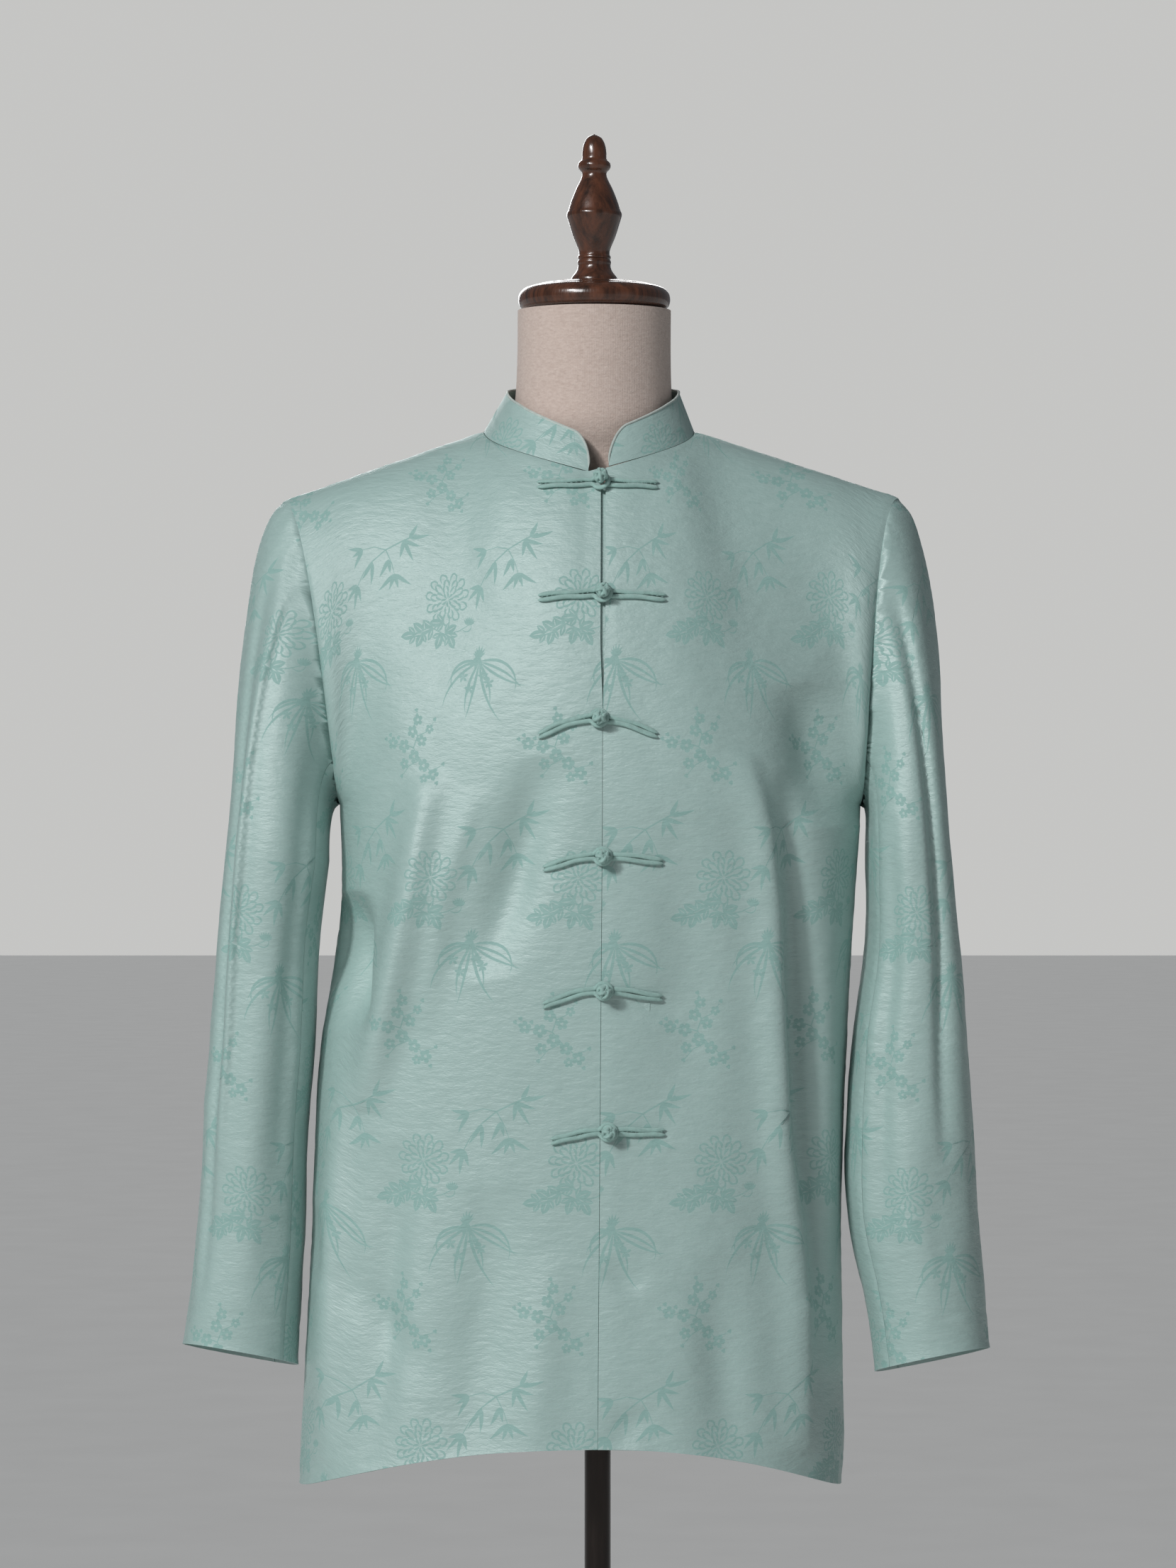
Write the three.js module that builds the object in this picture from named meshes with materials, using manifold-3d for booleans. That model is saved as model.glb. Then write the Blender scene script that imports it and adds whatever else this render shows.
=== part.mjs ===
// A tang jacket on a limbless dress form.
//
// Millimetres, +Z up. The front faces -Y and +X is on the right of someone
// who looks at it. The origin is on the floor, on the axis of the stand's pole.
//
// Each piece that a maker cuts and sews is a thin wall of cloth of its own:
// two fronts, a back, a top sleeve and an under sleeve on each side, a stand
// collar with its piping and the strip under the front opening. Six frogs
// close it, each a loop cord and a knot cord. The form, its wooden neck cap
// and finial, and the metal stand are solids of their own.

import * as THREE from 'three';
import { mergeVertices } from 'three/addons/utils/BufferGeometryUtils.js';
import Module from 'manifold-3d';

const wasm = await Module();
wasm.setup();

const { clamp, degToRad, lerp, smoothstep } = THREE.MathUtils;

// ---------------------------------------------------------------- sizes

const CLOTH = { thickness: 1.5, trim: 0.3 };

// The body of the jacket, from the underarm down: where each side lies,
// how far the front and the back stand out, and how square the ring is.
const BODY = [
  { z: 1126, left: -192, right: 196, front: 130, back: 112, power: 2.3 },
  { z: 1053, left: -191, right: 191, front: 127, back: 106, power: 2.3 },
  { z: 932, left: -207, right: 185, front: 122, back: 105, power: 2.35 },
  { z: 817, left: -212, right: 181, front: 121, back: 109, power: 2.4 },
  { z: 740, left: -216, right: 182, front: 123, back: 113, power: 2.4 },
  { z: 651, left: -221, right: 183, front: 125, back: 118, power: 2.4 },
  { z: 600, left: -222, right: 178, front: 127, back: 120, power: 2.4 },
];
const UNDERARM = BODY[0].z;
const HEM = { side: 620, centreFront: 659, centreBack: 628 };
const OPENING = { topX: 4, hemX: -0.5, gap: 0.6, neckGap: 3.6, neckGapEnds: 1218 };

// The neck hole, and the shoulder seams that run out from it.
const NECK = {
  x: -6.4, halfWidth: 78.5, front: 76, back: 66,
  frontZ: 1370, sideZ: 1404.5, backRise: 8, turned: 7.6,
};
const SHOULDER = {
  left: { x: -235, y: -4, z: 1352 },
  right: { x: 225, y: -4, z: 1354.5 },
  neckShare: 0.36,
};

// The start and end pulls of the columns that hang from the top edge of a
// panel: at the centre line, on the shoulder, and down the armhole.
const DRAPE = {
  front: {
    centre: { out: 128, fall: 215 },
    shoulder: { out: 200, fall: 0 },
    armhole: { inward: 70, out: 170, fall: 0, under: 250, settle: 30 },
  },
  back: {
    centre: { out: 175, fall: 200 },
    shoulder: { out: 190, fall: 0 },
    armhole: { inward: 66, out: 190, fall: 0, under: 270, settle: 30 },
  },
  fall: 262,
  armholeFrom: 0.68,
};

// The sleeves, from below the underarm down to the cuff.
const SLEEVES = {
  left: [
    { z: 1085, outer: -277, inner: -201, front: -84, back: 70, tilt: 0.04, lean: 0 },
    { z: 1023, outer: -282, inner: -209, front: -82, back: 66, tilt: 0.05, lean: 0.02 },
    { z: 945, outer: -288, inner: -212, front: -79, back: 57, tilt: 0.07, lean: 0.05 },
    { z: 884, outer: -294, inner: -215.5, front: -75, back: 49, tilt: 0.1, lean: 0.08 },
    { z: 813, outer: -299, inner: -218, front: -70, back: 43, tilt: 0.13, lean: 0.11 },
    { z: 716, outer: -308, inner: -224, front: -66, back: 37, tilt: 0.18, lean: 0.15 },
  ],
  right: [
    { z: 1085, outer: 264, inner: 201, front: -84, back: 70, tilt: 0.04, lean: 0 },
    { z: 1015, outer: 270, inner: 200, front: -81, back: 65, tilt: 0.05, lean: 0.02 },
    { z: 952, outer: 275, inner: 190.5, front: -79, back: 57, tilt: 0.07, lean: 0.04 },
    { z: 884, outer: 279, inner: 186.5, front: -75, back: 49, tilt: 0.1, lean: 0.08 },
    { z: 819, outer: 283, inner: 187, front: -70, back: 43, tilt: 0.13, lean: 0.11 },
    { z: 765, outer: 288, inner: 198, front: -68, back: 40, tilt: 0.16, lean: 0.13 },
    { z: 712, outer: 292, inner: 206, front: -66, back: 37, tilt: 0.2, lean: 0.15 },
  ],
};
const SLEEVE = {
  power: 2.3,
  cap: { out: 95, underOut: 25, forward: 20, fall: 70, settle: 10, flare: 25 },
  frontSeam: 140,
  backSeam: 240,
};

// Rows of a panel down the armhole, which are also columns round the sleeve.
const ARMHOLE_ROWS = 9;

// The largest folds, as soft ridges (depth over 0) and troughs (under 0).
// A front or back fold runs between two places as seen from that side.
const FRONT_FOLDS = [
  { x0: -122, z0: 1140, x1: -176, z1: 915, width: 20, depth: 11 },
  { x0: -172, z0: 1060, x1: -178, z1: 965, width: 17, depth: -13 },
  { x0: -44, z0: 1150, x1: -84, z1: 1010, width: 24, depth: -6 },
  { x0: 112, z0: 1160, x1: 150, z1: 650, width: 22, depth: 7 },
  { x0: 136, z0: 1150, x1: 150, z1: 760, width: 16, depth: -9 },
  { x0: 160, z0: 1215, x1: 170, z1: 1120, width: 22, depth: -10 },
  { x0: 28, z0: 720, x1: 12, z1: 630, width: 20, depth: -3 },
];
const BACK_FOLDS = [
  { x0: -120, z0: 1200, x1: -150, z1: 840, width: 24, depth: -9 },
  { x0: -60, z0: 1090, x1: -72, z1: 700, width: 26, depth: 7 },
  { x0: 20, z0: 1060, x1: 24, z1: 660, width: 24, depth: -7 },
  { x0: 96, z0: 1120, x1: 92, z1: 720, width: 25, depth: 8 },
  { x0: 140, z0: 1190, x1: 150, z1: 860, width: 22, depth: -9 },
];
// A sleeve's fold runs down it, at an angle round from the outer side.
const SLEEVE_FOLDS = {
  left: [
    { angle: 48, top: 1300, bottom: 930, width: 12, depth: 5 },
    { angle: 24, top: 1320, bottom: 900, width: 14, depth: -3 },
    { angle: 300, top: 1240, bottom: 860, width: 16, depth: -6 },
  ],
  right: [
    { angle: 66, top: 1320, bottom: 900, width: 11, depth: -6 },
    { angle: 30, top: 1300, bottom: 860, width: 16, depth: 4 },
    { angle: 290, top: 1230, bottom: 880, width: 16, depth: -6 },
  ],
};

// The stand collar, its rounded front corners and the piping on its edge.
const COLLAR = {
  topX: -3.5, topHalfWidth: 64.5, topFront: 65, topBack: 61,
  frontRise: 24.5, sideRise: 29, startAngle: 0.5, endAngle: 349.4,
  cornerReach: 17, endHeight: 0.08, gap: 0.35,
};
const PIPING = { height: 1.1, thickness: 1.4, gap: 0.5 };
const UNDERLAY = { left: 0.07, right: 0.1, gap: 1.6, thickness: 1.1, top: 0.05, bottom: 1.975 };

// The frogs, down the front: the knot's place, and how far each cord
// reaches to its side and dips on the way.
const FROGS = [
  { x: 2.5, z: 1361, leftReach: 47, leftDip: 1.6, rightReach: 42, rightDip: 1.6 },
  { x: 3.7, z: 1279, leftReach: 47.2, leftDip: 3, rightReach: 46, rightDip: 2.6 },
  { x: 1, z: 1188.5, leftReach: 44.5, leftDip: 12.9, rightReach: 42.5, rightDip: 12.3 },
  { x: 3.7, z: 1089, leftReach: 43, leftDip: 9.7, rightReach: 43.4, rightDip: 4.1 },
  { x: 4.5, z: 991.5, leftReach: 44.8, leftDip: 11.3, rightReach: 42.6, rightDip: 5.6 },
  { x: 7.6, z: 889, leftReach: 42, leftDip: 7.2, rightReach: 41.3, rightDip: 0.8 },
];
const CORD = { width: 7, thickness: 2.6, gap: 0.8 };
const LOOP = { radius: 6.3, cord: 1.5, nearHeight: 2.4, farHeight: 5.2 };
const KNOT = { radius: 5.7, height: 10.5, stem: 2.1 };

// The dress form, from its foot up to the top of its neck.
const FORM = [
  { z: 1495.5, x: -2.5, halfWidth: 57.3, front: 57, back: 57, power: 2 },
  { z: 1460, x: -2.7, halfWidth: 57.4, front: 57, back: 56, power: 2 },
  { z: 1432, x: -3, halfWidth: 58.4, front: 57.6, back: 55, power: 2 },
  { z: 1412, x: -3.5, halfWidth: 60.6, front: 58.6, back: 55, power: 2 },
  { z: 1400, x: -4, halfWidth: 64, front: 56, back: 51, power: 2 },
  { z: 1388, x: -5, halfWidth: 82, front: 52, back: 46, power: 2 },
  { z: 1370, x: -4, halfWidth: 124, front: 52, back: 47, power: 2 },
  { z: 1350, x: -2, halfWidth: 149, front: 59, back: 56, power: 2 },
  { z: 1320, x: 0, halfWidth: 161, front: 73, back: 65, power: 2.1 },
  { z: 1280, x: 0, halfWidth: 162, front: 87, back: 76, power: 2.1 },
  { z: 1200, x: 0, halfWidth: 156, front: 98, back: 84, power: 2.2 },
  { z: 1100, x: 0, halfWidth: 138, front: 91, back: 76, power: 2.2 },
  { z: 1010, x: 0, halfWidth: 126, front: 84, back: 72, power: 2.2 },
  { z: 900, x: -5, halfWidth: 141, front: 90, back: 77, power: 2.2 },
  { z: 800, x: -8, halfWidth: 150, front: 92, back: 79, power: 2.2 },
  { z: 722, x: -8, halfWidth: 145, front: 88, back: 76, power: 2.2 },
  { z: 706, x: -8, halfWidth: 134, front: 78, back: 67, power: 2.2 },
];

// The turned wooden cap on the neck, and its finial, as radius and height.
const CAP = {
  x: -2.5, foot: 1495.8,
  profile: [[0, 0], [50, 0], [55.5, 1.6], [57, 6.5], [56.4, 11.5], [53, 15.5], [47.5, 17.4],
    [45.8, 16.6], [44.4, 18.2], [38.4, 19.4], [36.8, 18.6], [35.5, 20.6], [0, 20.6]],
};
const FINIAL = {
  foot: CAP.foot + 20.9,
  profile: [[0, 0], [17.5, 0], [17.4, 3], [13.2, 8], [12, 12], [12.6, 14.2], [12.4, 15.8],
    [11.6, 16.6], [12.4, 17.6], [12.2, 19.4], [11.4, 20], [11.6, 24], [16, 34], [19.6, 46],
    [20.6, 49], [20.6, 51.6], [19.6, 53], [17.6, 60], [13.6, 70], [9.4, 78], [9, 82],
    [11.8, 84.4], [12.4, 87], [11.6, 89.6], [9, 91.6], [9.2, 97], [8.2, 103], [5.4, 108.4],
    [0, 110.7]],
};

// The stand: a flat-bottomed round base, the pole and the plate under the form.
const STAND = {
  poleRadius: 9.8, plateRadius: 34, plateHeight: 9, gap: 0.3,
  base: [[0, 0], [182, 0], [185, 3], [185, 8], [181, 11.5], [120, 16], [60, 22], [34, 30],
    [26, 44], [19, 60], [17.5, 74], [14, 78], [0, 78]],
};

const SEGMENTS = { form: 28, cap: 24, finial: 16, base: 32, pole: 16, loop: 12, cord: 5, knot: 10 };

// ---------------------------------------------------------------- materials

const material = (color, roughness, metalness = 0) =>
  new THREE.MeshStandardMaterial({ color, roughness, metalness, side: THREE.DoubleSide });

const MATERIALS = {
  silk: () => material('#9ac6bd', 0.42),
  piping: () => material('#d9e6de', 0.6),
  cord: () => material('#a5cdc4', 0.45),
  linen: () => material('#cdb7a4', 0.9),
  walnut: () => material('#4a2414', 0.28),
  metal: () => material('#1d1613', 0.3, 0.8),
};

// ---------------------------------------------------------------- geometry

const point = (x, y, z) => new THREE.Vector3(x, y, z);
const signedPower = (value, exponent) => Math.sign(value) * Math.abs(value) ** exponent;
const steps = (from, to, count) =>
  Array.from({ length: count + 1 }, (_, i) => lerp(from, to, i / count));

/** A value between two others, leaving and arriving with the given slopes. */
function ease(t, from, leave, to, arrive) {
  const t2 = t * t;
  const t3 = t2 * t;
  return from * (2 * t3 - 3 * t2 + 1) + leave * (t3 - 2 * t2 + t)
    + to * (3 * t2 - 2 * t3) + arrive * (t3 - t2);
}

/** The same, for points. */
function curve(t, from, leave, to, arrive) {
  const along = (axis) => ease(t, from[axis], leave[axis], to[axis], arrive[axis]);
  return point(along('x'), along('y'), along('z'));
}

/** One column of a table, smoothly between its rows, which go downwards. */
function read(table, column, z) {
  const last = table.length - 1;
  const found = table.findIndex((row, k) => k < last && z >= table[k + 1].z);
  const index = found < 0 ? last - 1 : found;
  const slope = (k) => {
    const above = table[Math.max(k - 1, 0)];
    const below = table[Math.min(k + 1, last)];
    return (below[column] - above[column]) / (below.z - above.z);
  };
  const [from, to] = [table[index], table[index + 1]];
  const drop = to.z - from.z;
  const t = clamp((z - from.z) / drop, 0, 1);
  return ease(t, from[column], slope(index) * drop, to[column], slope(index + 1) * drop);
}

/** The outward direction of a surface, from its two parameters. */
function normalAt(surface, u, v, turn) {
  const step = 1e-3;
  const across = surface(u + step, v).sub(surface(u - step, v));
  const down = surface(u, v + step).sub(surface(u, v - step));
  return across.cross(down).multiplyScalar(turn).normalize();
}

/** A closed geometry from points and triangles that share them. */
function closed(points, triangles) {
  const geometry = new THREE.BufferGeometry();
  geometry.setAttribute('position', new THREE.Float32BufferAttribute(points.flatMap((p) => p.toArray()), 3));
  geometry.setIndex(triangles);
  geometry.computeVertexNormals();
  return geometry;
}

/**
 * A wall of cloth: its outer face is surface(u, v) at the given columns (u)
 * and rows (v), its edges are trimmed back a little for the seams, and turn
 * is 1 where u crossed with v points outwards and -1 where it points in.
 * The outward direction of its first row can be given, to match a neighbour's.
 */
function wall(surface, columns, rows, { thickness, turn, trim = CLOTH.trim, firstRow }) {
  const wide = columns.length;
  const outer = rows.flatMap((v) => columns.map((u) => surface(u, v)));
  const outwards = (u, v, j) => (j === 0 && firstRow ? firstRow(u) : normalAt(surface, u, v, turn));
  const inner = rows.flatMap((v, j) => columns.map((u, i) =>
    outer[j * wide + i].clone().addScaledVector(outwards(u, v, j), -thickness)));
  const count = outer.length;
  const lastRow = (rows.length - 1) * wide;
  const pull = (face, edge, next) => face[edge].lerp(face[next], trim / face[edge].distanceTo(face[next]));
  for (const face of [outer, inner]) {
    for (let row = 0; row <= lastRow; row += wide) {
      pull(face, row, row + 1);
      pull(face, row + wide - 1, row + wide - 2);
    }
    for (let i = 0; i < wide; i += 1) {
      pull(face, i, i + wide);
      pull(face, lastRow + i, lastRow + i - wide);
    }
  }
  const triangles = [];
  const quad = (a, b, c, d) => triangles.push(...(turn > 0 ? [a, b, c, a, c, d] : [a, c, b, a, d, c]));
  for (let row = 0; row < lastRow; row += wide) {
    for (let a = row; a < row + wide - 1; a += 1) {
      quad(a, a + 1, a + wide + 1, a + wide);
      quad(a + count, a + count + wide, a + count + wide + 1, a + count + 1);
    }
    const end = row + wide - 1;
    quad(row, row + wide, row + wide + count, row + count);
    quad(end + wide, end, end + count, end + wide + count);
  }
  for (let a = 0; a < wide - 1; a += 1) {
    const b = lastRow + a;
    quad(a, a + count, a + count + 1, a + 1);
    quad(b + 1, b + count + 1, b + count, b);
  }
  return closed([...outer, ...inner], triangles);
}

/** A smooth solid through level rings, each a function of an angle. */
function stacked(ring, heights, segments) {
  const angles = steps(0, 360, segments).slice(0, -1);
  const points = heights.flatMap((z) => angles.map((angle) => ring(z, angle)));
  const top = points.push(point(ring(heights[0], 0).x, 0, heights[0])) - 1;
  const foot = points.push(point(ring(heights.at(-1), 0).x, 0, heights.at(-1))) - 1;
  const triangles = [];
  for (let i = 0; i < segments; i += 1) {
    const next = (i + 1) % segments;
    triangles.push(top, i, next);
    for (let j = 0; j < heights.length - 1; j += 1) {
      const [a, b] = [j * segments + i, j * segments + next];
      triangles.push(a, a + segments, b + segments, a, b + segments, b);
    }
    const last = (heights.length - 1) * segments;
    triangles.push(foot, last + next, last + i);
  }
  return closed(points, triangles);
}

/** A turned solid, from [radius, height] pairs that start and end on its axis. */
function turned(profile, segments, foot, x = 0) {
  const outline = profile.map(([radius, height]) => new THREE.Vector2(radius, height));
  const geometry = new THREE.LatheGeometry(outline, segments);
  geometry.rotateX(Math.PI / 2);
  geometry.translate(x, 0, foot);
  return geometry;
}

/** A geometry as a solid that can be joined to others. */
function solidOf(geometry) {
  const bare = geometry.clone();
  bare.deleteAttribute('normal');
  bare.deleteAttribute('uv');
  const merged = mergeVertices(bare, 1e-3);
  return new wasm.Manifold(new wasm.Mesh({
    numProp: 3,
    vertProperties: new Float32Array(merged.attributes.position.array),
    triVerts: new Uint32Array(merged.index.array),
  }));
}

/** Several closed geometries joined into one. */
function joined(geometries) {
  const solid = geometries.map(solidOf).reduce((sum, next) => sum.add(next));
  const mesh = solid.getMesh();
  const geometry = new THREE.BufferGeometry();
  geometry.setAttribute('position', new THREE.Float32BufferAttribute(mesh.vertProperties, 3));
  geometry.setIndex([...mesh.triVerts]);
  geometry.computeVertexNormals();
  return geometry;
}

// ---------------------------------------------------------------- body panels

/** Where the front opening runs, at a height. */
const openingX = (z) => lerp(OPENING.hemX, OPENING.topX, clamp((z - HEM.side) / 600, 0, 1));

/** The angle at which a ring of the body meets the front opening. */
function openingAngle(z) {
  const [left, right] = [read(BODY, 'left', z), read(BODY, 'right', z)];
  const share = (2 * openingX(z) - left - right) / (right - left);
  return THREE.MathUtils.radToDeg(Math.asin(signedPower(share, read(BODY, 'power', z) / 2)));
}

/** A point on the body's ring at a height; the angle is 0 in the middle and 90 at the right side. */
function ringPoint(z, angle, facing) {
  const [left, right] = [read(BODY, 'left', z), read(BODY, 'right', z)];
  const exponent = 2 / read(BODY, 'power', z);
  const depth = facing * read(BODY, facing < 0 ? 'front' : 'back', z);
  const turnedBy = degToRad(angle);
  return point(
    (left + right) / 2 + (right - left) / 2 * signedPower(Math.sin(turnedBy), exponent),
    depth * signedPower(Math.cos(turnedBy), exponent),
    z,
  );
}

/** The neck hole as drawn; the angle is 0 in front, 90 at the left side and 180 behind. */
function neckCurve(angle) {
  const turnedBy = degToRad(angle);
  const away = Math.abs(((angle + 180) % 360) - 180);
  const z = away < 90
    ? lerp(NECK.frontZ, NECK.sideZ, away / 90)
    : NECK.sideZ + NECK.backRise * Math.sin(degToRad(away - 90));
  return point(
    NECK.x - NECK.halfWidth * Math.sin(turnedBy),
    -Math.cos(turnedBy) * (away < 90 ? NECK.front : NECK.back),
    z,
  );
}

// Where the neck hole's edge has its corners, the same for the panels and the collar.
const NECK_STEPS = 6;
const NECK_CORNERS = [
  ...steps(-NECK.turned, 90, NECK_STEPS),
  ...steps(90, 270, 2 * NECK_STEPS).slice(1),
  ...steps(270, 360 - NECK.turned, NECK_STEPS).slice(1),
];

/** The neck hole's edge, straight from corner to corner. */
function neckline(angle) {
  const from = clamp(NECK_CORNERS.findLastIndex((corner) => corner <= angle), 0, NECK_CORNERS.length - 2);
  const [start, end] = [NECK_CORNERS[from], NECK_CORNERS[from + 1]];
  return neckCurve(start).lerp(neckCurve(end), (angle - start) / (end - start));
}

/** The top edge of a panel: along the neck hole, then out along the shoulder. */
function topEdge(side, share, facing) {
  const tip = SHOULDER[side < 0 ? 'left' : 'right'];
  const neckShare = SHOULDER.neckShare;
  if (share < neckShare) {
    const opening = side < 0 ? -NECK.turned : 360 - NECK.turned;
    return neckline(lerp(facing < 0 ? opening : 180, side < 0 ? 90 : 270, share / neckShare));
  }
  const corner = neckline(side < 0 ? 90 : 270);
  const t = (share - neckShare) / (1 - neckShare);
  return point(lerp(corner.x, tip.x, t), lerp(corner.y, tip.y, Math.min(4 * t, 1)), lerp(corner.z, tip.z, t));
}

/** How a fold moves a panel out or in, at a place seen from the front or back. */
function foldDepth(folds, x, z) {
  let depth = 0;
  for (const fold of folds) {
    const [runX, runZ] = [fold.x1 - fold.x0, fold.z1 - fold.z0];
    const run = Math.hypot(runX, runZ);
    const along = ((x - fold.x0) * runX + (z - fold.z0) * runZ) / run ** 2;
    const off = ((x - fold.x0) * runZ - (z - fold.z0) * runX) / run;
    if (along > 0 && along < 1) {
      depth += fold.depth * Math.exp(-((off / fold.width) ** 2)) * Math.sin(Math.PI * along) ** 0.8;
    }
  }
  return depth;
}

/** A bare panel: share runs from the middle to the side, fall from the top (0) by the underarm (1) to the hem (2). */
function barePanel(side, share, fall, facing) {
  const angleAt = (z) => lerp(facing < 0 ? openingAngle(z) : 0, side * 90, share);
  if (fall > 1) {
    const hem = lerp(facing < 0 ? HEM.centreFront : HEM.centreBack, HEM.side, smoothstep(share, 0, 1));
    const z = lerp(UNDERARM, hem, fall - 1);
    return ringPoint(z, angleAt(z), facing);
  }
  const { centre, shoulder, armhole } = DRAPE[facing < 0 ? 'front' : 'back'];
  const toShoulder = smoothstep(share, 0, SHOULDER.neckShare);
  const toArmhole = smoothstep(share, DRAPE.armholeFrom, 1);
  const leave = point(
    -side * armhole.inward * toArmhole,
    facing * lerp(lerp(centre.out, shoulder.out, toShoulder), armhole.out, toArmhole),
    -lerp(lerp(centre.fall, shoulder.fall, toShoulder), armhole.fall, toArmhole),
  );
  const arrive = point(
    -side * 12 * toArmhole,
    -facing * armhole.under * toArmhole,
    -lerp(DRAPE.fall, armhole.settle, toArmhole),
  );
  const end = ringPoint(UNDERARM, angleAt(UNDERARM), facing);
  return curve(fall, topEdge(side, share, facing), leave, end, arrive);
}

/** A panel with its folds. */
function panel(side, share, fall, facing) {
  const bare = barePanel(side, share, fall, facing);
  const out = point(bare.x / 200 ** 2, bare.y / 120 ** 2, 0).normalize();
  const calm = 1 - smoothstep(share, 0.86, 1);
  const folds = facing < 0 ? FRONT_FOLDS : BACK_FOLDS;
  return bare.addScaledVector(out, foldDepth(folds, bare.x, bare.z) * calm);
}

// The columns of a panel, with one at the corner of the neck hole, and its rows.
const PANEL_SHARES = [
  ...steps(0, SHOULDER.neckShare, NECK_STEPS),
  ...steps(SHOULDER.neckShare, 1, 7).slice(1),
];
const PANEL_FALLS = [...steps(0, 1, ARMHOLE_ROWS), ...steps(1, 2, 10).slice(1)];

/** One front, cut back from the middle by half the opening's gap. */
function frontPanel(side) {
  const surface = (share, fall) => {
    const bare = panel(side, share, fall, -1);
    const wide = smoothstep(bare.z, OPENING.neckGapEnds - 20, OPENING.neckGapEnds + 30);
    const gap = lerp(OPENING.gap, OPENING.neckGap, wide) / 2 - CLOTH.trim;
    bare.x += side * gap * (1 - smoothstep(share, 0, 0.15));
    return bare;
  };
  return wall(surface, PANEL_SHARES, PANEL_FALLS, { thickness: CLOTH.thickness, turn: -side });
}

/** The back, from its left side to its right side. */
function backPanel() {
  const surface = (x, fall) => panel(x < 0 ? -1 : 1, Math.abs(x), fall, 1);
  const across = [...PANEL_SHARES.slice(1).map((share) => -share).reverse(), ...PANEL_SHARES];
  return wall(surface, across, PANEL_FALLS, { thickness: CLOTH.thickness, turn: 1 });
}

// ---------------------------------------------------------------- sleeves

/** The armhole: the angle is 0 at the shoulder, 90 in front and 180 at the underarm. */
function armhole(side, angle) {
  const round = ((angle % 360) + 360) % 360;
  return round <= 180
    ? panel(side, 1, round / 180, -1)
    : panel(side, 1, (360 - round) / 180, 1);
}

/** A point round the sleeve at a height below the underarm. */
function sleeveRing(side, angle, z) {
  const table = SLEEVES[side < 0 ? 'left' : 'right'];
  const [outer, inner] = [read(table, 'outer', z), read(table, 'inner', z)];
  const [front, back] = [read(table, 'front', z), read(table, 'back', z)];
  const turnedBy = degToRad(angle);
  const across = signedPower(Math.cos(turnedBy), 2 / SLEEVE.power) * (outer - inner) / 2;
  const forward = signedPower(Math.sin(turnedBy), 2 / SLEEVE.power) * (front - back) / 2;
  return point(
    (outer + inner) / 2 + across,
    (front + back) / 2 + forward,
    z + side * read(table, 'tilt', z) * across - read(table, 'lean', z) * forward,
  );
}

/** The sleeve's outer face: fall runs from the armhole (0) by the end of the cap (1) to the cuff (2). */
function sleeve(side, angle, fall) {
  const table = SLEEVES[side < 0 ? 'left' : 'right'];
  const { cap } = SLEEVE;
  const toOuter = (1 + Math.cos(degToRad(angle))) / 2;
  const top = table[0].z;
  let bare;
  if (fall > 1) {
    bare = sleeveRing(side, angle, lerp(top, table.at(-1).z, fall - 1));
  } else {
    const from = armhole(side, angle);
    const to = sleeveRing(side, angle, top);
    const leave = point(
      side * lerp(cap.underOut, cap.out, toOuter),
      -cap.forward * Math.sin(degToRad(angle)),
      -cap.fall * Math.sqrt(toOuter),
    );
    const arrive = point(side * cap.flare * toOuter, 0, to.z - from.z - cap.settle);
    bare = curve(fall, from, leave, to, arrive);
  }
  const axis = sleeveRing(side, 0, clamp(bare.z, table.at(-1).z, top))
    .lerp(sleeveRing(side, 180, clamp(bare.z, table.at(-1).z, top)), 0.5);
  const out = point(bare.x - axis.x, bare.y - axis.y, 0).normalize();
  const calm = smoothstep(fall, 0, 0.35);
  return bare.addScaledVector(out, sleeveFold(side, angle, bare.z) * calm);
}

/** How a sleeve's folds move it out or in. */
function sleeveFold(side, angle, z) {
  const round = ((angle % 360) + 360) % 360;
  return SLEEVE_FOLDS[side < 0 ? 'left' : 'right'].reduce((depth, fold) => {
    const along = (fold.top - z) / (fold.top - fold.bottom);
    if (along <= 0 || along >= 1) return depth;
    const off = (round - fold.angle) / fold.width;
    return depth + fold.depth * Math.exp(-(off ** 2)) * Math.sin(Math.PI * along) ** 0.6;
  }, 0);
}

/** The sleeve's outward direction at the armhole: the body's own, save at the underarm. */
function armholeNormal(side, angle) {
  const round = ((angle % 360) + 360) % 360;
  const facing = round <= 180 ? -1 : 1;
  const body = (share, fall) => panel(side, share, fall, facing);
  const fall = (facing < 0 ? round : 360 - round) / 180;
  const ofBody = normalAt(body, 1, fall, facing < 0 ? -side : side);
  const ofSleeve = normalAt((turned, down) => sleeve(side, turned, down), angle, 0, side);
  return ofSleeve.lerp(ofBody, smoothstep(ofSleeve.dot(ofBody), 0, 0.5)).normalize();
}

/** One piece of a sleeve, between two seams. */
function sleevePiece(side, from, to) {
  const columns = steps(from, to, (to - from) / (180 / ARMHOLE_ROWS));
  const rows = [...steps(0, 1, 5), ...steps(1, 2, 8).slice(1)];
  return wall((angle, fall) => sleeve(side, angle, fall), columns, rows, {
    thickness: CLOTH.thickness, turn: side, firstRow: (angle) => armholeNormal(side, angle),
  });
}

// ---------------------------------------------------------------- collar

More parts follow.
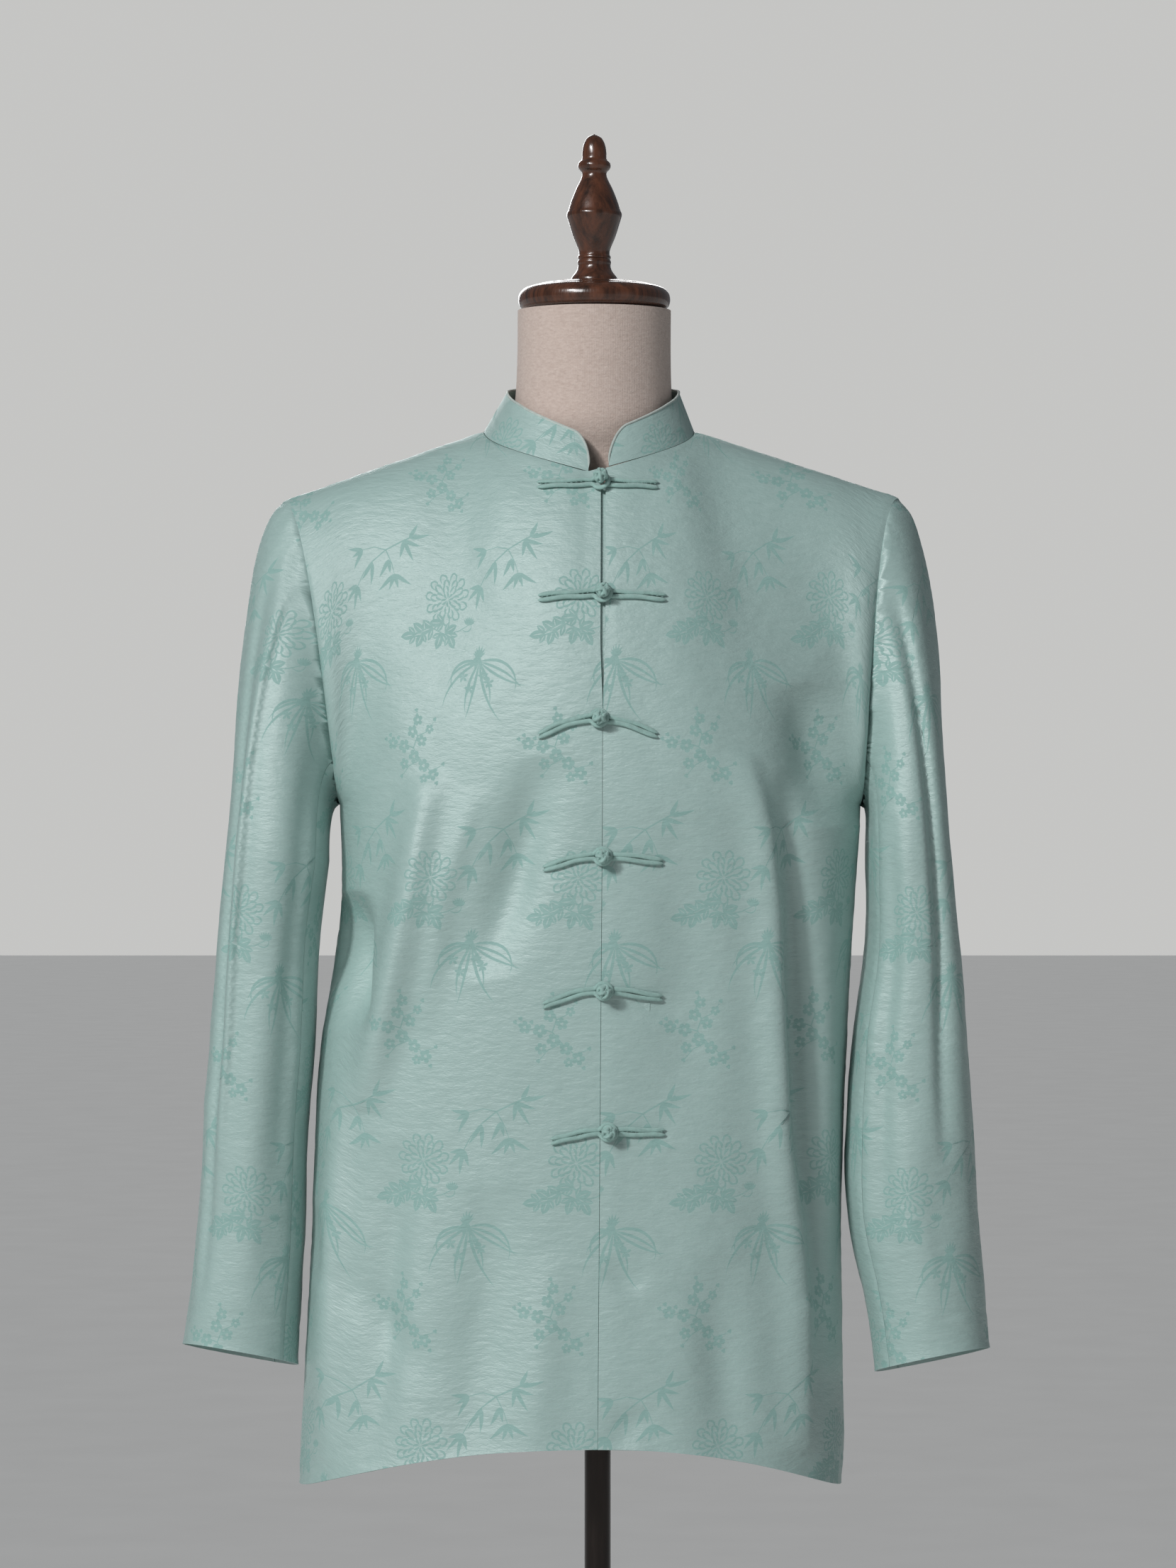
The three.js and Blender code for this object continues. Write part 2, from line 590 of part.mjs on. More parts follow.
/** The collar's outer face, from the neck hole (0) to its top edge (1). */
function collarFace(angle, height) {
  const turnedBy = degToRad(angle);
  const away = angle < 180 ? angle : 360 - angle;
  const base = neckline(angle);
  const rise = lerp(COLLAR.frontRise, COLLAR.sideRise, Math.min(away / 60, 1));
  const top = point(
    COLLAR.topX - COLLAR.topHalfWidth * Math.sin(turnedBy),
    -Math.cos(turnedBy) * (away < 90 ? COLLAR.topFront : COLLAR.topBack),
    base.z + rise,
  );
  const fromEnd = Math.min(angle - COLLAR.startAngle, COLLAR.endAngle - angle);
  const reach = clamp(degToRad(fromEnd) * NECK.halfWidth / COLLAR.cornerReach, 0, 1);
  const corner = lerp(COLLAR.endHeight, 1, Math.sqrt(1 - (1 - reach) ** 2));
  return base.lerp(top, height * corner).add(point(0, 0, COLLAR.gap));
}

/** Angles round the collar: the neck hole's corners, and more at its own rounded ends. */
function collarAngles() {
  const { startAngle, endAngle } = COLLAR;
  const near = [0, 1, 2.5, 5, 8, 12.5];
  const clear = near.at(-1) + 3;
  return [
    ...near.map((step) => startAngle + step),
    ...NECK_CORNERS.filter((angle) => angle > startAngle + clear && angle < endAngle - clear),
    ...near.map((step) => endAngle - step).reverse(),
  ];
}

const collar = () => wall(collarFace, collarAngles(), [0, 0.5, 1], {
  thickness: CLOTH.thickness, turn: -1,
});

/** A narrow edging along the collar's top edge, down round its front corners. */
function collarPiping() {
  const surface = (angle, height) => {
    const edge = collarFace(angle, 1);
    const up = edge.clone().sub(collarFace(angle, 0.9)).normalize();
    return edge.addScaledVector(up, PIPING.gap + height * PIPING.height);
  };
  return wall(surface, collarAngles(), [0, 1], { thickness: PIPING.thickness, turn: -1, trim: 0.05 });
}

/** The strip under the front opening, just inside both fronts. */
function placketUnderlay() {
  const surface = (across, fall) => {
    const side = across < 0 ? -1 : 1;
    const face = (share, down) => panel(side, share, down, -1);
    const inwards = normalAt(face, Math.abs(across), fall, -side);
    return face(Math.abs(across), fall)
      .addScaledVector(inwards, -(CLOTH.thickness + UNDERLAY.gap));
  };
  const rows = [...steps(UNDERLAY.top, 1, 8), ...steps(1, UNDERLAY.bottom, 10).slice(1)];
  return wall(surface, steps(-UNDERLAY.left, UNDERLAY.right, 4), rows, {
    thickness: UNDERLAY.thickness, turn: -1,
  });
}

// ---------------------------------------------------------------- frogs

/** The front's outer face at a place seen from the front, lifted off the cloth. */
function onFront(x, z, lift) {
  const side = x < openingX(z) ? -1 : 1;
  const face = (share, fall) => panel(side, share, fall, -1);
  let [share, fall] = [0.1, z > UNDERARM ? 0.5 : 1.5];
  for (let turn = 0; turn < 14; turn += 1) {
    const here = face(share, fall);
    const across = face(share + 1e-3, fall).sub(here).multiplyScalar(1e3);
    const down = face(share, fall + 1e-3).sub(here).multiplyScalar(1e3);
    const [offX, offZ] = [x - here.x, z - here.z];
    const area = across.x * down.z - across.z * down.x;
    share = clamp(share + (offX * down.z - offZ * down.x) / area, -0.1, 0.9);
    fall = clamp(fall + (across.x * offZ - across.z * offX) / area, 0.002, 2);
  }
  return face(share, fall).addScaledVector(normalAt(face, share, fall, -side), lift);
}

/** A flat double cord sewn on a front, from beside the knot to its blunt end. */
function stitchedCord(frog, side, start) {
  const [reach, dip] = side < 0 ? [frog.leftReach, frog.leftDip] : [frog.rightReach, frog.rightDip];
  const surface = (along, across) => onFront(
    frog.x + side * lerp(start, reach, along),
    frog.z - dip * signedPower(along, 1.5) - across * CORD.width,
    CORD.gap + CORD.thickness,
  );
  return wall(surface, steps(0, 1, 5), [-0.5, 0.5], { thickness: CORD.thickness, turn: -side });
}

/** The loop's ring round the knot, low on the loop's own side and over the other cord. */
function loopRing(frog) {
  const section = steps(0, 360, SEGMENTS.cord).map((angle) => new THREE.Vector2(
    LOOP.radius + LOOP.cord * Math.cos(degToRad(angle)),
    LOOP.cord * Math.sin(degToRad(angle)),
  ));
  const ring = new THREE.LatheGeometry(section, SEGMENTS.loop);
  const tilt = Math.asin((LOOP.farHeight - LOOP.nearHeight) / (2 * LOOP.radius));
  ring.rotateZ(-tilt);
  const centre = onFront(frog.x, frog.z, (LOOP.farHeight + LOOP.nearHeight) / 2 + CORD.gap);
  const outwards = centre.clone().sub(onFront(frog.x, frog.z, 0)).normalize();
  ring.applyQuaternion(new THREE.Quaternion().setFromUnitVectors(point(0, -1, 0), outwards));
  ring.translate(centre.x, centre.y, centre.z);
  return ring;
}

const loopCord = (frog) => joined([stitchedCord(frog, -1, LOOP.radius), loopRing(frog)]);

/** The other cord, with the stem that rises through the loop into the knot. */
function knotCord(frog) {
  const ball = new THREE.SphereGeometry(KNOT.radius, SEGMENTS.knot, SEGMENTS.knot / 2 + 1);
  const centre = onFront(frog.x, frog.z, KNOT.height);
  ball.translate(centre.x, centre.y, centre.z);
  const foot = onFront(frog.x, frog.z, CORD.gap + 1);
  const stem = new THREE.CylinderGeometry(KNOT.stem, KNOT.stem, foot.distanceTo(centre), 6);
  const middle = foot.clone().lerp(centre, 0.5);
  stem.translate(middle.x, middle.y, middle.z);
  return joined([stitchedCord(frog, 1, -KNOT.stem), stem, ball]);
}

// ---------------------------------------------------------------- form and stand

/** A level ring of the dress form. */
function formRing(z, angle) {
  const exponent = 2 / read(FORM, 'power', z);
  const turnedBy = degToRad(angle);
  const depth = Math.sin(turnedBy) < 0 ? read(FORM, 'front', z) : read(FORM, 'back', z);
  return point(
    read(FORM, 'x', z) + read(FORM, 'halfWidth', z) * signedPower(Math.cos(turnedBy), exponent),
    depth * signedPower(Math.sin(turnedBy), exponent),
    z,
  );
}

const dressForm = () => stacked(formRing, FORM.map((row) => row.z), SEGMENTS.form);

function pole() {
  const foot = STAND.base.at(-1)[1] + STAND.gap;
  const top = FORM.at(-1).z - STAND.plateHeight - 2 * STAND.gap;
  const profile = [[0, 0], [STAND.poleRadius, 0], [STAND.poleRadius, top - foot], [0, top - foot]];
  return turned(profile, SEGMENTS.pole, foot);
}

function plate() {
  const { plateRadius, plateHeight, gap } = STAND;
  const profile = [[0, 0], [plateRadius - 8, 0], [plateRadius, 3], [plateRadius, plateHeight], [0, plateHeight]];
  return turned(profile, SEGMENTS.pole, FORM.at(-1).z - plateHeight - gap);
}

// ---------------------------------------------------------------- the part

const part = new THREE.Group();
part.name = 'tang_jacket_on_dress_form';

function add(name, geometry, finish) {
  const mesh = new THREE.Mesh(geometry, MATERIALS[finish]());
  mesh.name = name;
  part.add(mesh);
}

for (const [name, side] of [['left', -1], ['right', 1]]) {
  add(`front_${name}`, frontPanel(side), 'silk');
  add(`sleeve_top_${name}`, sleevePiece(side, SLEEVE.backSeam - 360, SLEEVE.frontSeam), 'silk');
  add(`sleeve_under_${name}`, sleevePiece(side, SLEEVE.frontSeam, SLEEVE.backSeam), 'silk');
}
add('back', backPanel(), 'silk');
add('placket_underlay', placketUnderlay(), 'silk');
add('collar', collar(), 'silk');
add('collar_piping', collarPiping(), 'piping');

FROGS.forEach((frog, index) => {
  add(`frog_${index + 1}_loop`, loopCord(frog), 'cord');
  add(`frog_${index + 1}_knot`, knotCord(frog), 'cord');
});

add('dress_form', dressForm(), 'linen');
add('neck_cap', turned(CAP.profile, SEGMENTS.cap, CAP.foot, CAP.x), 'walnut');
add('finial', turned(FINIAL.profile, SEGMENTS.finial, FINIAL.foot, CAP.x), 'walnut');
add('form_plate', plate(), 'metal');
add('pole', pole(), 'metal');
add('base', turned(STAND.base, SEGMENTS.base, 0), 'metal');

export default part;
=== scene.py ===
"""A silk tang jacket on a limbless dress form: its cloth, frogs, form, wood and stand.

Lengths are in millimetres until a mesh is made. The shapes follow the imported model's outlines,
and the folds are finer and deeper than the model's own.
"""

import logging
import math
from dataclasses import dataclass, field
from enum import Enum
from typing import Callable

import bpy
import numpy as np
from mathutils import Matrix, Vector
from mathutils.geometry import delaunay_2d_cdt


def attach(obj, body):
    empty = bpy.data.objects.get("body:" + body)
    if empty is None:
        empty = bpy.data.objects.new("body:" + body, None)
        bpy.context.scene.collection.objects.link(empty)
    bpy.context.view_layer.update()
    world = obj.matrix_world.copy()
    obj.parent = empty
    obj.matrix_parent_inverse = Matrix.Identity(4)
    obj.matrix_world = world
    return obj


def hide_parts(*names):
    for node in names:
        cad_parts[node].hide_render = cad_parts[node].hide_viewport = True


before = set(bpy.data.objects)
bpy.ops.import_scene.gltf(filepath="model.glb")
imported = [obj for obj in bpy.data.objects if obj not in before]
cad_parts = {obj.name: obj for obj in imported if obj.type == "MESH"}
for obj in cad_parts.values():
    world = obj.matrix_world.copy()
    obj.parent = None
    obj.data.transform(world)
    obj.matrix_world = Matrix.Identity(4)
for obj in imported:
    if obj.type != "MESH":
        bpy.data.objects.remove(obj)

LOG = logging.getLogger("tang_jacket")
MM = 0.001
NOISE_CELLS = 64
NOISE_START = (31.7, 29.3)
Array = np.ndarray
Surface = Callable[[Array, Array], Array]


class Side(Enum):
    """A side of the jacket, as the sign of its x."""

    LEFT = -1
    RIGHT = 1


class Facing(Enum):
    """The front or the back of the jacket, as the sign of its y."""

    FRONT = -1
    BACK = 1


class Weave(Enum):
    """Which material slot of a silk piece a triangle takes."""

    GROUND = 0
    FIGURE = 1


# ---------------------------------------------------------------- numbers


def mix(start: Array, end: Array, share: Array) -> Array:
    """A value between two others."""
    return start + (end - start) * share


def ramp(value: Array, low: float, high: float) -> Array:
    """A smooth step from 0 at low to 1 at high."""
    share = np.clip((value - low) / (high - low), 0.0, 1.0)
    return share * share * (3.0 - 2.0 * share)


def signed_power(value: Array, exponent: Array) -> Array:
    """A power that keeps the sign of its base."""
    return np.sign(value) * np.abs(value) ** exponent


def hermite(share: Array, start: Array, leave: Array, end: Array, arrive: Array) -> Array:
    """A value between two others, leaving and arriving with the given slopes.

    Args:
        share: how far along, from 0 to 1.
        start: the value at 0.
        leave: its slope at 0.
        end: the value at 1.
        arrive: its slope at 1.

    Returns:
        The values between.
    """
    square, cube = share**2, share**3
    return (
        start * (2 * cube - 3 * square + 1)
        + leave * (cube - 2 * square + share)
        + end * (3 * square - 2 * cube)
        + arrive * (cube - square)
    )


def stack(x: Array, y: Array, z: Array) -> Array:
    """Points from their three coordinates."""
    return np.stack(np.broadcast_arrays(x, y, z), axis=-1).astype(float)


def unit(vectors: Array) -> Array:
    """Vectors of length one."""
    return vectors / np.maximum(np.linalg.norm(vectors, axis=-1, keepdims=True), 1e-9)


def soft_noise(across: Array, down: Array, size: tuple[float, float], seed: int) -> Array:
    """Smooth random waves over a surface.

    Args:
        across: first coordinate of each place.
        down: second coordinate of each place.
        size: length of a wave along each coordinate.
        seed: which pattern of waves.

    Returns:
        Values from about -1 to 1.
    """
    grid = np.random.default_rng(seed).uniform(-1, 1, (NOISE_CELLS, NOISE_CELLS))
    u, v = across / size[0] + NOISE_START[0], down / size[1] + NOISE_START[1]
    i, j = np.floor(u).astype(int), np.floor(v).astype(int)
    s, t = u - i, v - j
    s, t = s * s * (3 - 2 * s), t * t * (3 - 2 * t)
    i, after_i = i % NOISE_CELLS, (i + 1) % NOISE_CELLS
    j, after_j = j % NOISE_CELLS, (j + 1) % NOISE_CELLS
    return mix(mix(grid[i, j], grid[after_i, j], s), mix(grid[i, after_j], grid[after_i, after_j], s), t)


def spaced(*stretches: tuple[float, float, int]) -> Array:
    """Values along several stretches in turn, each given as its start, end and count."""
    parts = [np.linspace(*stretch)[:-1] for stretch in stretches[:-1]]
    return np.concatenate([*parts, np.linspace(*stretches[-1])])


class Table:
    """A short table of a shape's sizes, row by row down from the top."""

    def __init__(self, columns: str, rows: list[tuple[float, ...]]) -> None:
        """Keeps the columns by name; the first one is the height, z."""
        names = columns.split()
        self.values = {name: np.array(values, float) for name, values in zip(names, zip(*rows))}
        self.heights = self.values["z"]
        self.top, self.foot = self.heights[0], self.heights[-1]

    def read(self, column: str, z: Array) -> Array:
        """One column, smoothly between its rows.

        Args:
            column: name of the column.
            z: heights to read it at.

        Returns:
            The column's values at those heights.
        """
        heights, values = self.heights, self.values[column]
        last = len(heights) - 1
        z = np.asarray(z, float)
        row = np.clip(np.searchsorted(-heights, -z, side="left") - 1, 0, last - 1)
        above = np.maximum(np.arange(last + 1) - 1, 0)
        below = np.minimum(np.arange(last + 1) + 1, last)
        slope = (values[below] - values[above]) / (heights[below] - heights[above])
        drop = heights[row + 1] - heights[row]
        share = np.clip((z - heights[row]) / drop, 0, 1)
        return hermite(share, values[row], slope[row] * drop, values[row + 1], slope[row + 1] * drop)


# ---------------------------------------------------------------- folds


@dataclass(frozen=True)
class Fold:
    """A ridge (depth over 0) or trough (under 0) that runs down the cloth.

    The line gives its places as (x, z) pairs from the top, width its reach to either side,
    skew how much tighter its right side is, and swell how soon it reaches its full depth.
    """

    line: tuple[tuple[float, float], ...]
    width: float
    depth: float
    skew: float = 1.0
    swell: float = 0.8

    def push(self, x: Array, z: Array) -> Array:
        """How far the fold moves the cloth out, at places seen from the front or back.

        Args:
            x: places across.
            z: their heights.

        Returns:
            The distances moved.
        """
        heights = [-height for _, height in self.line]
        middle = np.interp(-z, heights, [place for place, _ in self.line])
        lean = (self.line[-1][0] - self.line[0][0]) / (self.line[-1][1] - self.line[0][1])
        off = (x - middle) / math.hypot(1, lean)
        reach = np.where(off > 0, self.width * self.skew, self.width)
        along = (self.line[0][1] - z) / (self.line[0][1] - self.line[-1][1])
        inside = np.clip(np.sin(np.pi * np.clip(along, 0, 1)), 0, 1) ** self.swell
        return self.depth * np.exp(-((off / reach) ** 2)) * inside


@dataclass(frozen=True)
class Pull:
    """A short crease across the cloth, from one place to another."""

    start: tuple[float, float]
    end: tuple[float, float]
    width: float
    depth: float

    def push(self, x: Array, z: Array) -> Array:
        """How far the crease moves the cloth out, at places seen from the front or back.

        Args:
            x: places across.
            z: their heights.

        Returns:
            The distances moved.
        """
        run_x, run_z = self.end[0] - self.start[0], self.end[1] - self.start[1]
        run = math.hypot(run_x, run_z)
        along = ((x - self.start[0]) * run_x + (z - self.start[1]) * run_z) / run**2
        off = ((x - self.start[0]) * run_z - (z - self.start[1]) * run_x) / run
        inside = np.clip(np.sin(np.pi * np.clip(along, 0, 1)), 0, 1)
        return self.depth * np.exp(-((off / self.width) ** 2)) * inside


@dataclass(frozen=True)
class SleeveFold:
    """A fold down a sleeve, at an angle round from its outer side.

    Top and bottom are heights, width is in degrees, skew is how much tighter one side is, turn
    how far round it has gone by its bottom, and swell how soon it reaches its full depth.
    """

    angle: float
    top: float
    bottom: float
    width: float
    depth: float
    skew: float = 1.0
    turn: float = 0.0
    swell: float = 0.6

    def push(self, angle: Array, z: Array) -> Array:
        """How far the fold moves the cloth out.

        Args:
            angle: angles round the sleeve.
            z: heights.

        Returns:
            The distances moved.
        """
        along = (self.top - z) / (self.top - self.bottom)
        off = (angle - self.angle - self.turn * along + 180) % 360 - 180
        reach = np.where(off > 0, self.width * self.skew, self.width)
        inside = np.clip(np.sin(np.pi * np.clip(along, 0, 1)), 0, 1) ** self.swell
        return self.depth * np.exp(-((off / reach) ** 2)) * inside


# ---------------------------------------------------------------- the jacket's shape


@dataclass(frozen=True)
class Drape:
    """Which way a body panel's cloth heads at its top edge and at the underarm line.

    Centre and shoulder tell how it leaves the neck's middle and the shoulder (out, then down),
    and armhole how it leaves the armhole (inward, out) and how far it turns in by the underarm.
    """

    centre: tuple[float, float]
    shoulder: float
    armhole: tuple[float, float]
    turn_in: float


@dataclass
class JacketShape:
    """The cut of the jacket as it hangs, as surfaces that every cloth piece is taken from."""

    body: Table = field(
        default_factory=lambda: Table(
            "z left right front back power",
            [
                (1126, -192, 196, 130, 112, 2.3),
                (1053, -191, 191, 127, 106, 2.3),
                (932, -207, 185, 122, 105, 2.35),
                (817, -212, 181, 121, 109, 2.4),
                (740, -216, 182, 123, 113, 2.4),
                (651, -221, 183, 125, 118, 2.4),
                (600, -222, 178, 127, 120, 2.4),
            ],
        )
    )
    sleeves: dict[Side, Table] = field(
        default_factory=lambda: {
            Side.LEFT: Table(
                "z outer inner front back tilt lean",
                [
                    (1085, -277, -201, -84, 70, 0.04, 0),
                    (1023, -282, -209, -82, 66, 0.05, 0.02),
                    (945, -288, -212, -79, 57, 0.07, 0.05),
                    (884, -294, -215.5, -75, 49, 0.1, 0.08),
                    (813, -299, -218, -70, 43, 0.13, 0.11),
                    (716, -308, -224, -66, 37, 0.18, 0.15),
                ],
            ),
            Side.RIGHT: Table(
                "z outer inner front back tilt lean",
                [
                    (1085, 264, 201, -84, 70, 0.04, 0),
                    (1015, 270, 200, -81, 65, 0.05, 0.02),
                    (952, 275, 190.5, -79, 57, 0.07, 0.04),
                    (884, 279, 186.5, -75, 49, 0.1, 0.08),
                    (819, 283, 187, -70, 43, 0.13, 0.11),
                    (765, 288, 198, -68, 40, 0.16, 0.13),
                    (712, 292, 206, -66, 37, 0.2, 0.15),
                ],
            ),
        }
    )
    underarm: float = 1126
    hem_side: float = 620
    hem_centre: dict[Facing, float] = field(
        default_factory=lambda: {Facing.FRONT: 659, Facing.BACK: 628}
    )
    opening_top: float = 4
    opening_foot: float = -0.5
    opening_run: float = 600
    neck_x: float = -6.4
    neck_half_width: float = 78.5
    neck_depth: dict[Facing, float] = field(
        default_factory=lambda: {Facing.FRONT: 76, Facing.BACK: 66}
    )
    neck_front: float = 1370
    neck_side: float = 1404.5
    neck_back_rise: float = 8
    neck_turned: float = 7.6
    shoulder_tips: dict[Side, tuple[float, float, float]] = field(
        default_factory=lambda: {Side.LEFT: (-235, -4, 1352), Side.RIGHT: (225, -4, 1354.5)}
    )
    neck_share: float = 0.36
    armhole_from: float = 0.68
    fall: float = 262
    armhole_fall: float = 30
    armhole_spread: float = 12
    shoulder_ease: float = 4
    drapes: dict[Facing, Drape] = field(
        default_factory=lambda: {
            Facing.FRONT: Drape((128, 215), 200, (70, 170), 250),
            Facing.BACK: Drape((175, 200), 190, (66, 190), 270),
        }
    )
    sleeve_power: float = 2.3
    cap_spread: tuple[float, float] = (25, 95)
    cap_bulge: float = 20
    cap_drop: float = 70
    cap_ease: float = 10
    collar_x: float = -3.5
    collar_half_width: float = 64.5
    collar_depth: dict[Facing, float] = field(
        default_factory=lambda: {Facing.FRONT: 65, Facing.BACK: 61}
    )
    collar_rise: tuple[float, float] = (24.5, 29)
    collar_full_rise_angle: float = 60
    collar_ends: tuple[float, float] = (0.5, 349.4)
    collar_corner: float = 17
    collar_end_share: float = 0.08
    collar_gap: float = 0.35
    collar_mean_rise: float = 25

    def opening_x(self, z: Array) -> Array:
        """Where the front opening runs, at a height."""
        up = np.clip((z - self.hem_side) / self.opening_run, 0, 1)
        return mix(self.opening_foot, self.opening_top, up)

    def opening_angle(self, z: Array) -> Array:
        """The angle at which a ring of the body meets the front opening."""
        left, right = self.body.read("left", z), self.body.read("right", z)
        share = (2 * self.opening_x(z) - left - right) / (right - left)
        return np.degrees(np.arcsin(signed_power(share, self.body.read("power", z) / 2)))

    def ring(self, z: Array, angle: Array, facing: Facing) -> Array:
        """Points on the body's rings; the angle is 0 in the middle and 90 at the right side.

        Args:
            z: the rings' heights.
            angle: angles along them.
            facing: front or back.

        Returns:
            The points.
        """
        left, right = self.body.read("left", z), self.body.read("right", z)
        exponent = 2 / self.body.read("power", z)
        depth = facing.value * self.body.read(facing.name.lower(), z)
        turned = np.radians(angle)
        x = (left + right) / 2 + (right - left) / 2 * signed_power(np.sin(turned), exponent)
        return stack(x, depth * signed_power(np.cos(turned), exponent), z)

    def neckline(self, angle: Array) -> Array:
        """The neck hole's edge; the angle is 0 in front, 90 at the left side and 180 behind.

        Args:
            angle: angles round the neck.

        Returns:
            The points.
        """
        angle = np.asarray(angle, float)
        turned = np.radians(angle)
        away = np.abs((angle + 180) % 360 - 180)
        z = np.where(
            away < 90,
            mix(self.neck_front, self.neck_side, away / 90),
            self.neck_side + self.neck_back_rise * np.sin(np.radians(away - 90)),
        )
        depth = np.where(away < 90, self.neck_depth[Facing.FRONT], self.neck_depth[Facing.BACK])
        return stack(self.neck_x - self.neck_half_width * np.sin(turned), -np.cos(turned) * depth, z)

    def top_edge(self, side: Side, share: Array, facing: Facing) -> Array:
        """A panel's top edge: along the neck hole, then out along the shoulder.

        Args:
            side: which half of the jacket.
            share: from the middle (0) to the armhole (1).
            facing: front or back.

        Returns:
            The points.
        """
        corner_angle = 90.0 if side is Side.LEFT else 270.0
        opening = -self.neck_turned if side is Side.LEFT else 360 - self.neck_turned
        start = opening if facing is Facing.FRONT else 180.0
        along_neck = self.neckline(mix(start, corner_angle, np.clip(share / self.neck_share, 0, 1)))
        corner, tip = self.neckline(corner_angle), np.array(self.shoulder_tips[side])
        out = np.clip((share - self.neck_share) / (1 - self.neck_share), 0, 1)
        along_shoulder = stack(
            mix(corner[0], tip[0], out),
            mix(corner[1], tip[1], np.minimum(self.shoulder_ease * out, 1)),
            mix(corner[2], tip[2], out),
        )
        return np.where((share < self.neck_share)[..., None], along_neck, along_shoulder)

    def bare_panel(self, side: Side, share: Array, fall: Array, facing: Facing) -> Array:
        """A panel before its folds.

        Args:
            side: which half of the jacket.
            share: from the middle (0) to the side (1).
            fall: from the top edge (0) by the underarm (1) to the hem (2).
            facing: front or back.

        Returns:
            Points on the panel's outer face.
        """
        share, fall = np.broadcast_arrays(np.asarray(share, float), np.asarray(fall, float))
        sign = side.value
        hem = mix(self.hem_centre[facing], self.hem_side, ramp(share, 0, 1))
        z = mix(self.underarm, hem, np.clip(fall - 1, 0, 1))
        middle = self.opening_angle(z) if facing is Facing.FRONT else np.zeros_like(z)
        lower = self.ring(z, mix(middle, sign * 90, share), facing)
        drape = self.drapes[facing]
        to_shoulder = ramp(share, 0, self.neck_share)
        to_armhole = ramp(share, self.armhole_from, 1)
        out = mix(drape.centre[0], drape.shoulder, to_shoulder)
        leave = stack(
            -sign * drape.armhole[0] * to_armhole,
            facing.value * mix(out, drape.armhole[1], to_armhole),
            -mix(mix(drape.centre[1], 0, to_shoulder), 0, to_armhole),
        )
        arrive = stack(
            -sign * self.armhole_spread * to_armhole,
            -facing.value * drape.turn_in * to_armhole,
            -mix(self.fall, self.armhole_fall, to_armhole),
        )
        top = self.top_edge(side, share, facing)
        upper = hermite(np.clip(fall, 0, 1)[..., None], top, leave, lower, arrive)
        return np.where((fall > 1)[..., None], lower, upper)

    def armhole(self, side: Side, angle: Array) -> Array:
        """The armhole; the angle is 0 at the shoulder, 90 in front and 180 at the underarm.

        Args:
            side: which sleeve.
            angle: angles round it.

        Returns:
            The points.
        """
        turned = np.asarray(angle, float) % 360
        edge = np.ones_like(turned)
        front = self.bare_panel(side, edge, np.clip(turned / 180, 0, 1), Facing.FRONT)
        back = self.bare_panel(side, edge, np.clip((360 - turned) / 180, 0, 1), Facing.BACK)
        return np.where((turned <= 180)[..., None], front, back)

    def sleeve_ring(self, side: Side, angle: Array, z: Array) -> Array:
        """Points round a sleeve below its cap.

        Args:
            side: which sleeve.
            angle: 0 on the outer side, 90 in front.
            z: the rings' heights.

        Returns:
            The points.
        """
        table = self.sleeves[side]
        outer, inner = table.read("outer", z), table.read("inner", z)
        front, back = table.read("front", z), table.read("back", z)
        turned = np.radians(angle)
        exponent = 2 / self.sleeve_power
        across = signed_power(np.cos(turned), exponent) * (outer - inner) / 2
        forward = signed_power(np.sin(turned), exponent) * (front - back) / 2
        height = z + side.value * table.read("tilt", z) * across - table.read("lean", z) * forward
        return stack((outer + inner) / 2 + across, (front + back) / 2 + forward, height)

    def bare_sleeve(self, side: Side, angle: Array, fall: Array) -> Array:
        """A sleeve before its folds.

        Args:
            side: which sleeve.
            angle: angles round it.
            fall: from the armhole (0) by the cap's end (1) to the cuff (2).

        Returns:
            Points on its outer face.
        """
        angle, fall = np.broadcast_arrays(np.asarray(angle, float), np.asarray(fall, float))
        table, sign = self.sleeves[side], side.value
        to_outer = (1 + np.cos(np.radians(angle))) / 2
        lower = self.sleeve_ring(side, angle, mix(table.top, table.foot, np.clip(fall - 1, 0, 1)))
        start = self.armhole(side, angle)
        end = self.sleeve_ring(side, angle, np.full_like(angle, table.top))
        leave = stack(
            sign * mix(*self.cap_spread, to_outer),
            -self.cap_bulge * np.sin(np.radians(angle)),
            -self.cap_drop * np.sqrt(to_outer),
        )
        arrive = stack(
            sign * self.cap_spread[0] * to_outer, 0, end[..., 2] - start[..., 2] - self.cap_ease
        )
        upper = hermite(np.clip(fall, 0, 1)[..., None], start, leave, end, arrive)
        return np.where((fall > 1)[..., None], lower, upper)

    def collar(self, angle: Array, height: Array, raised: float = 0.0) -> Array:
        """The stand collar's outer face, from the neck hole (0) to its top edge (1).

        Args:
            angle: angles round the neck.
            height: from the neck hole to the top edge.
            raised: how far above that, in millimetres.

        Returns:
            The points.
        """
        angle, height = np.broadcast_arrays(np.asarray(angle, float), np.asarray(height, float))
        turned = np.radians(angle)
        away = np.where(angle < 180, angle, 360 - angle)
        base = self.neckline(angle)
        depth = np.where(away < 90, self.collar_depth[Facing.FRONT], self.collar_depth[Facing.BACK])
        rise = mix(*self.collar_rise, np.minimum(away / self.collar_full_rise_angle, 1))
        x = self.collar_x - self.collar_half_width * np.sin(turned)
        top = stack(x, -np.cos(turned) * depth, base[..., 2] + rise)
        from_end = np.minimum(angle - self.collar_ends[0], self.collar_ends[1] - angle)
        reach = np.clip(np.radians(from_end) * self.neck_half_width / self.collar_corner, 0, 1)
        corner = mix(self.collar_end_share, 1, np.sqrt(1 - (1 - reach) ** 2))
        lifted = height * corner + raised / self.collar_mean_rise
        return base + (top - base) * lifted[..., None] + np.array([0, 0, self.collar_gap])


# ---------------------------------------------------------------- the woven pattern


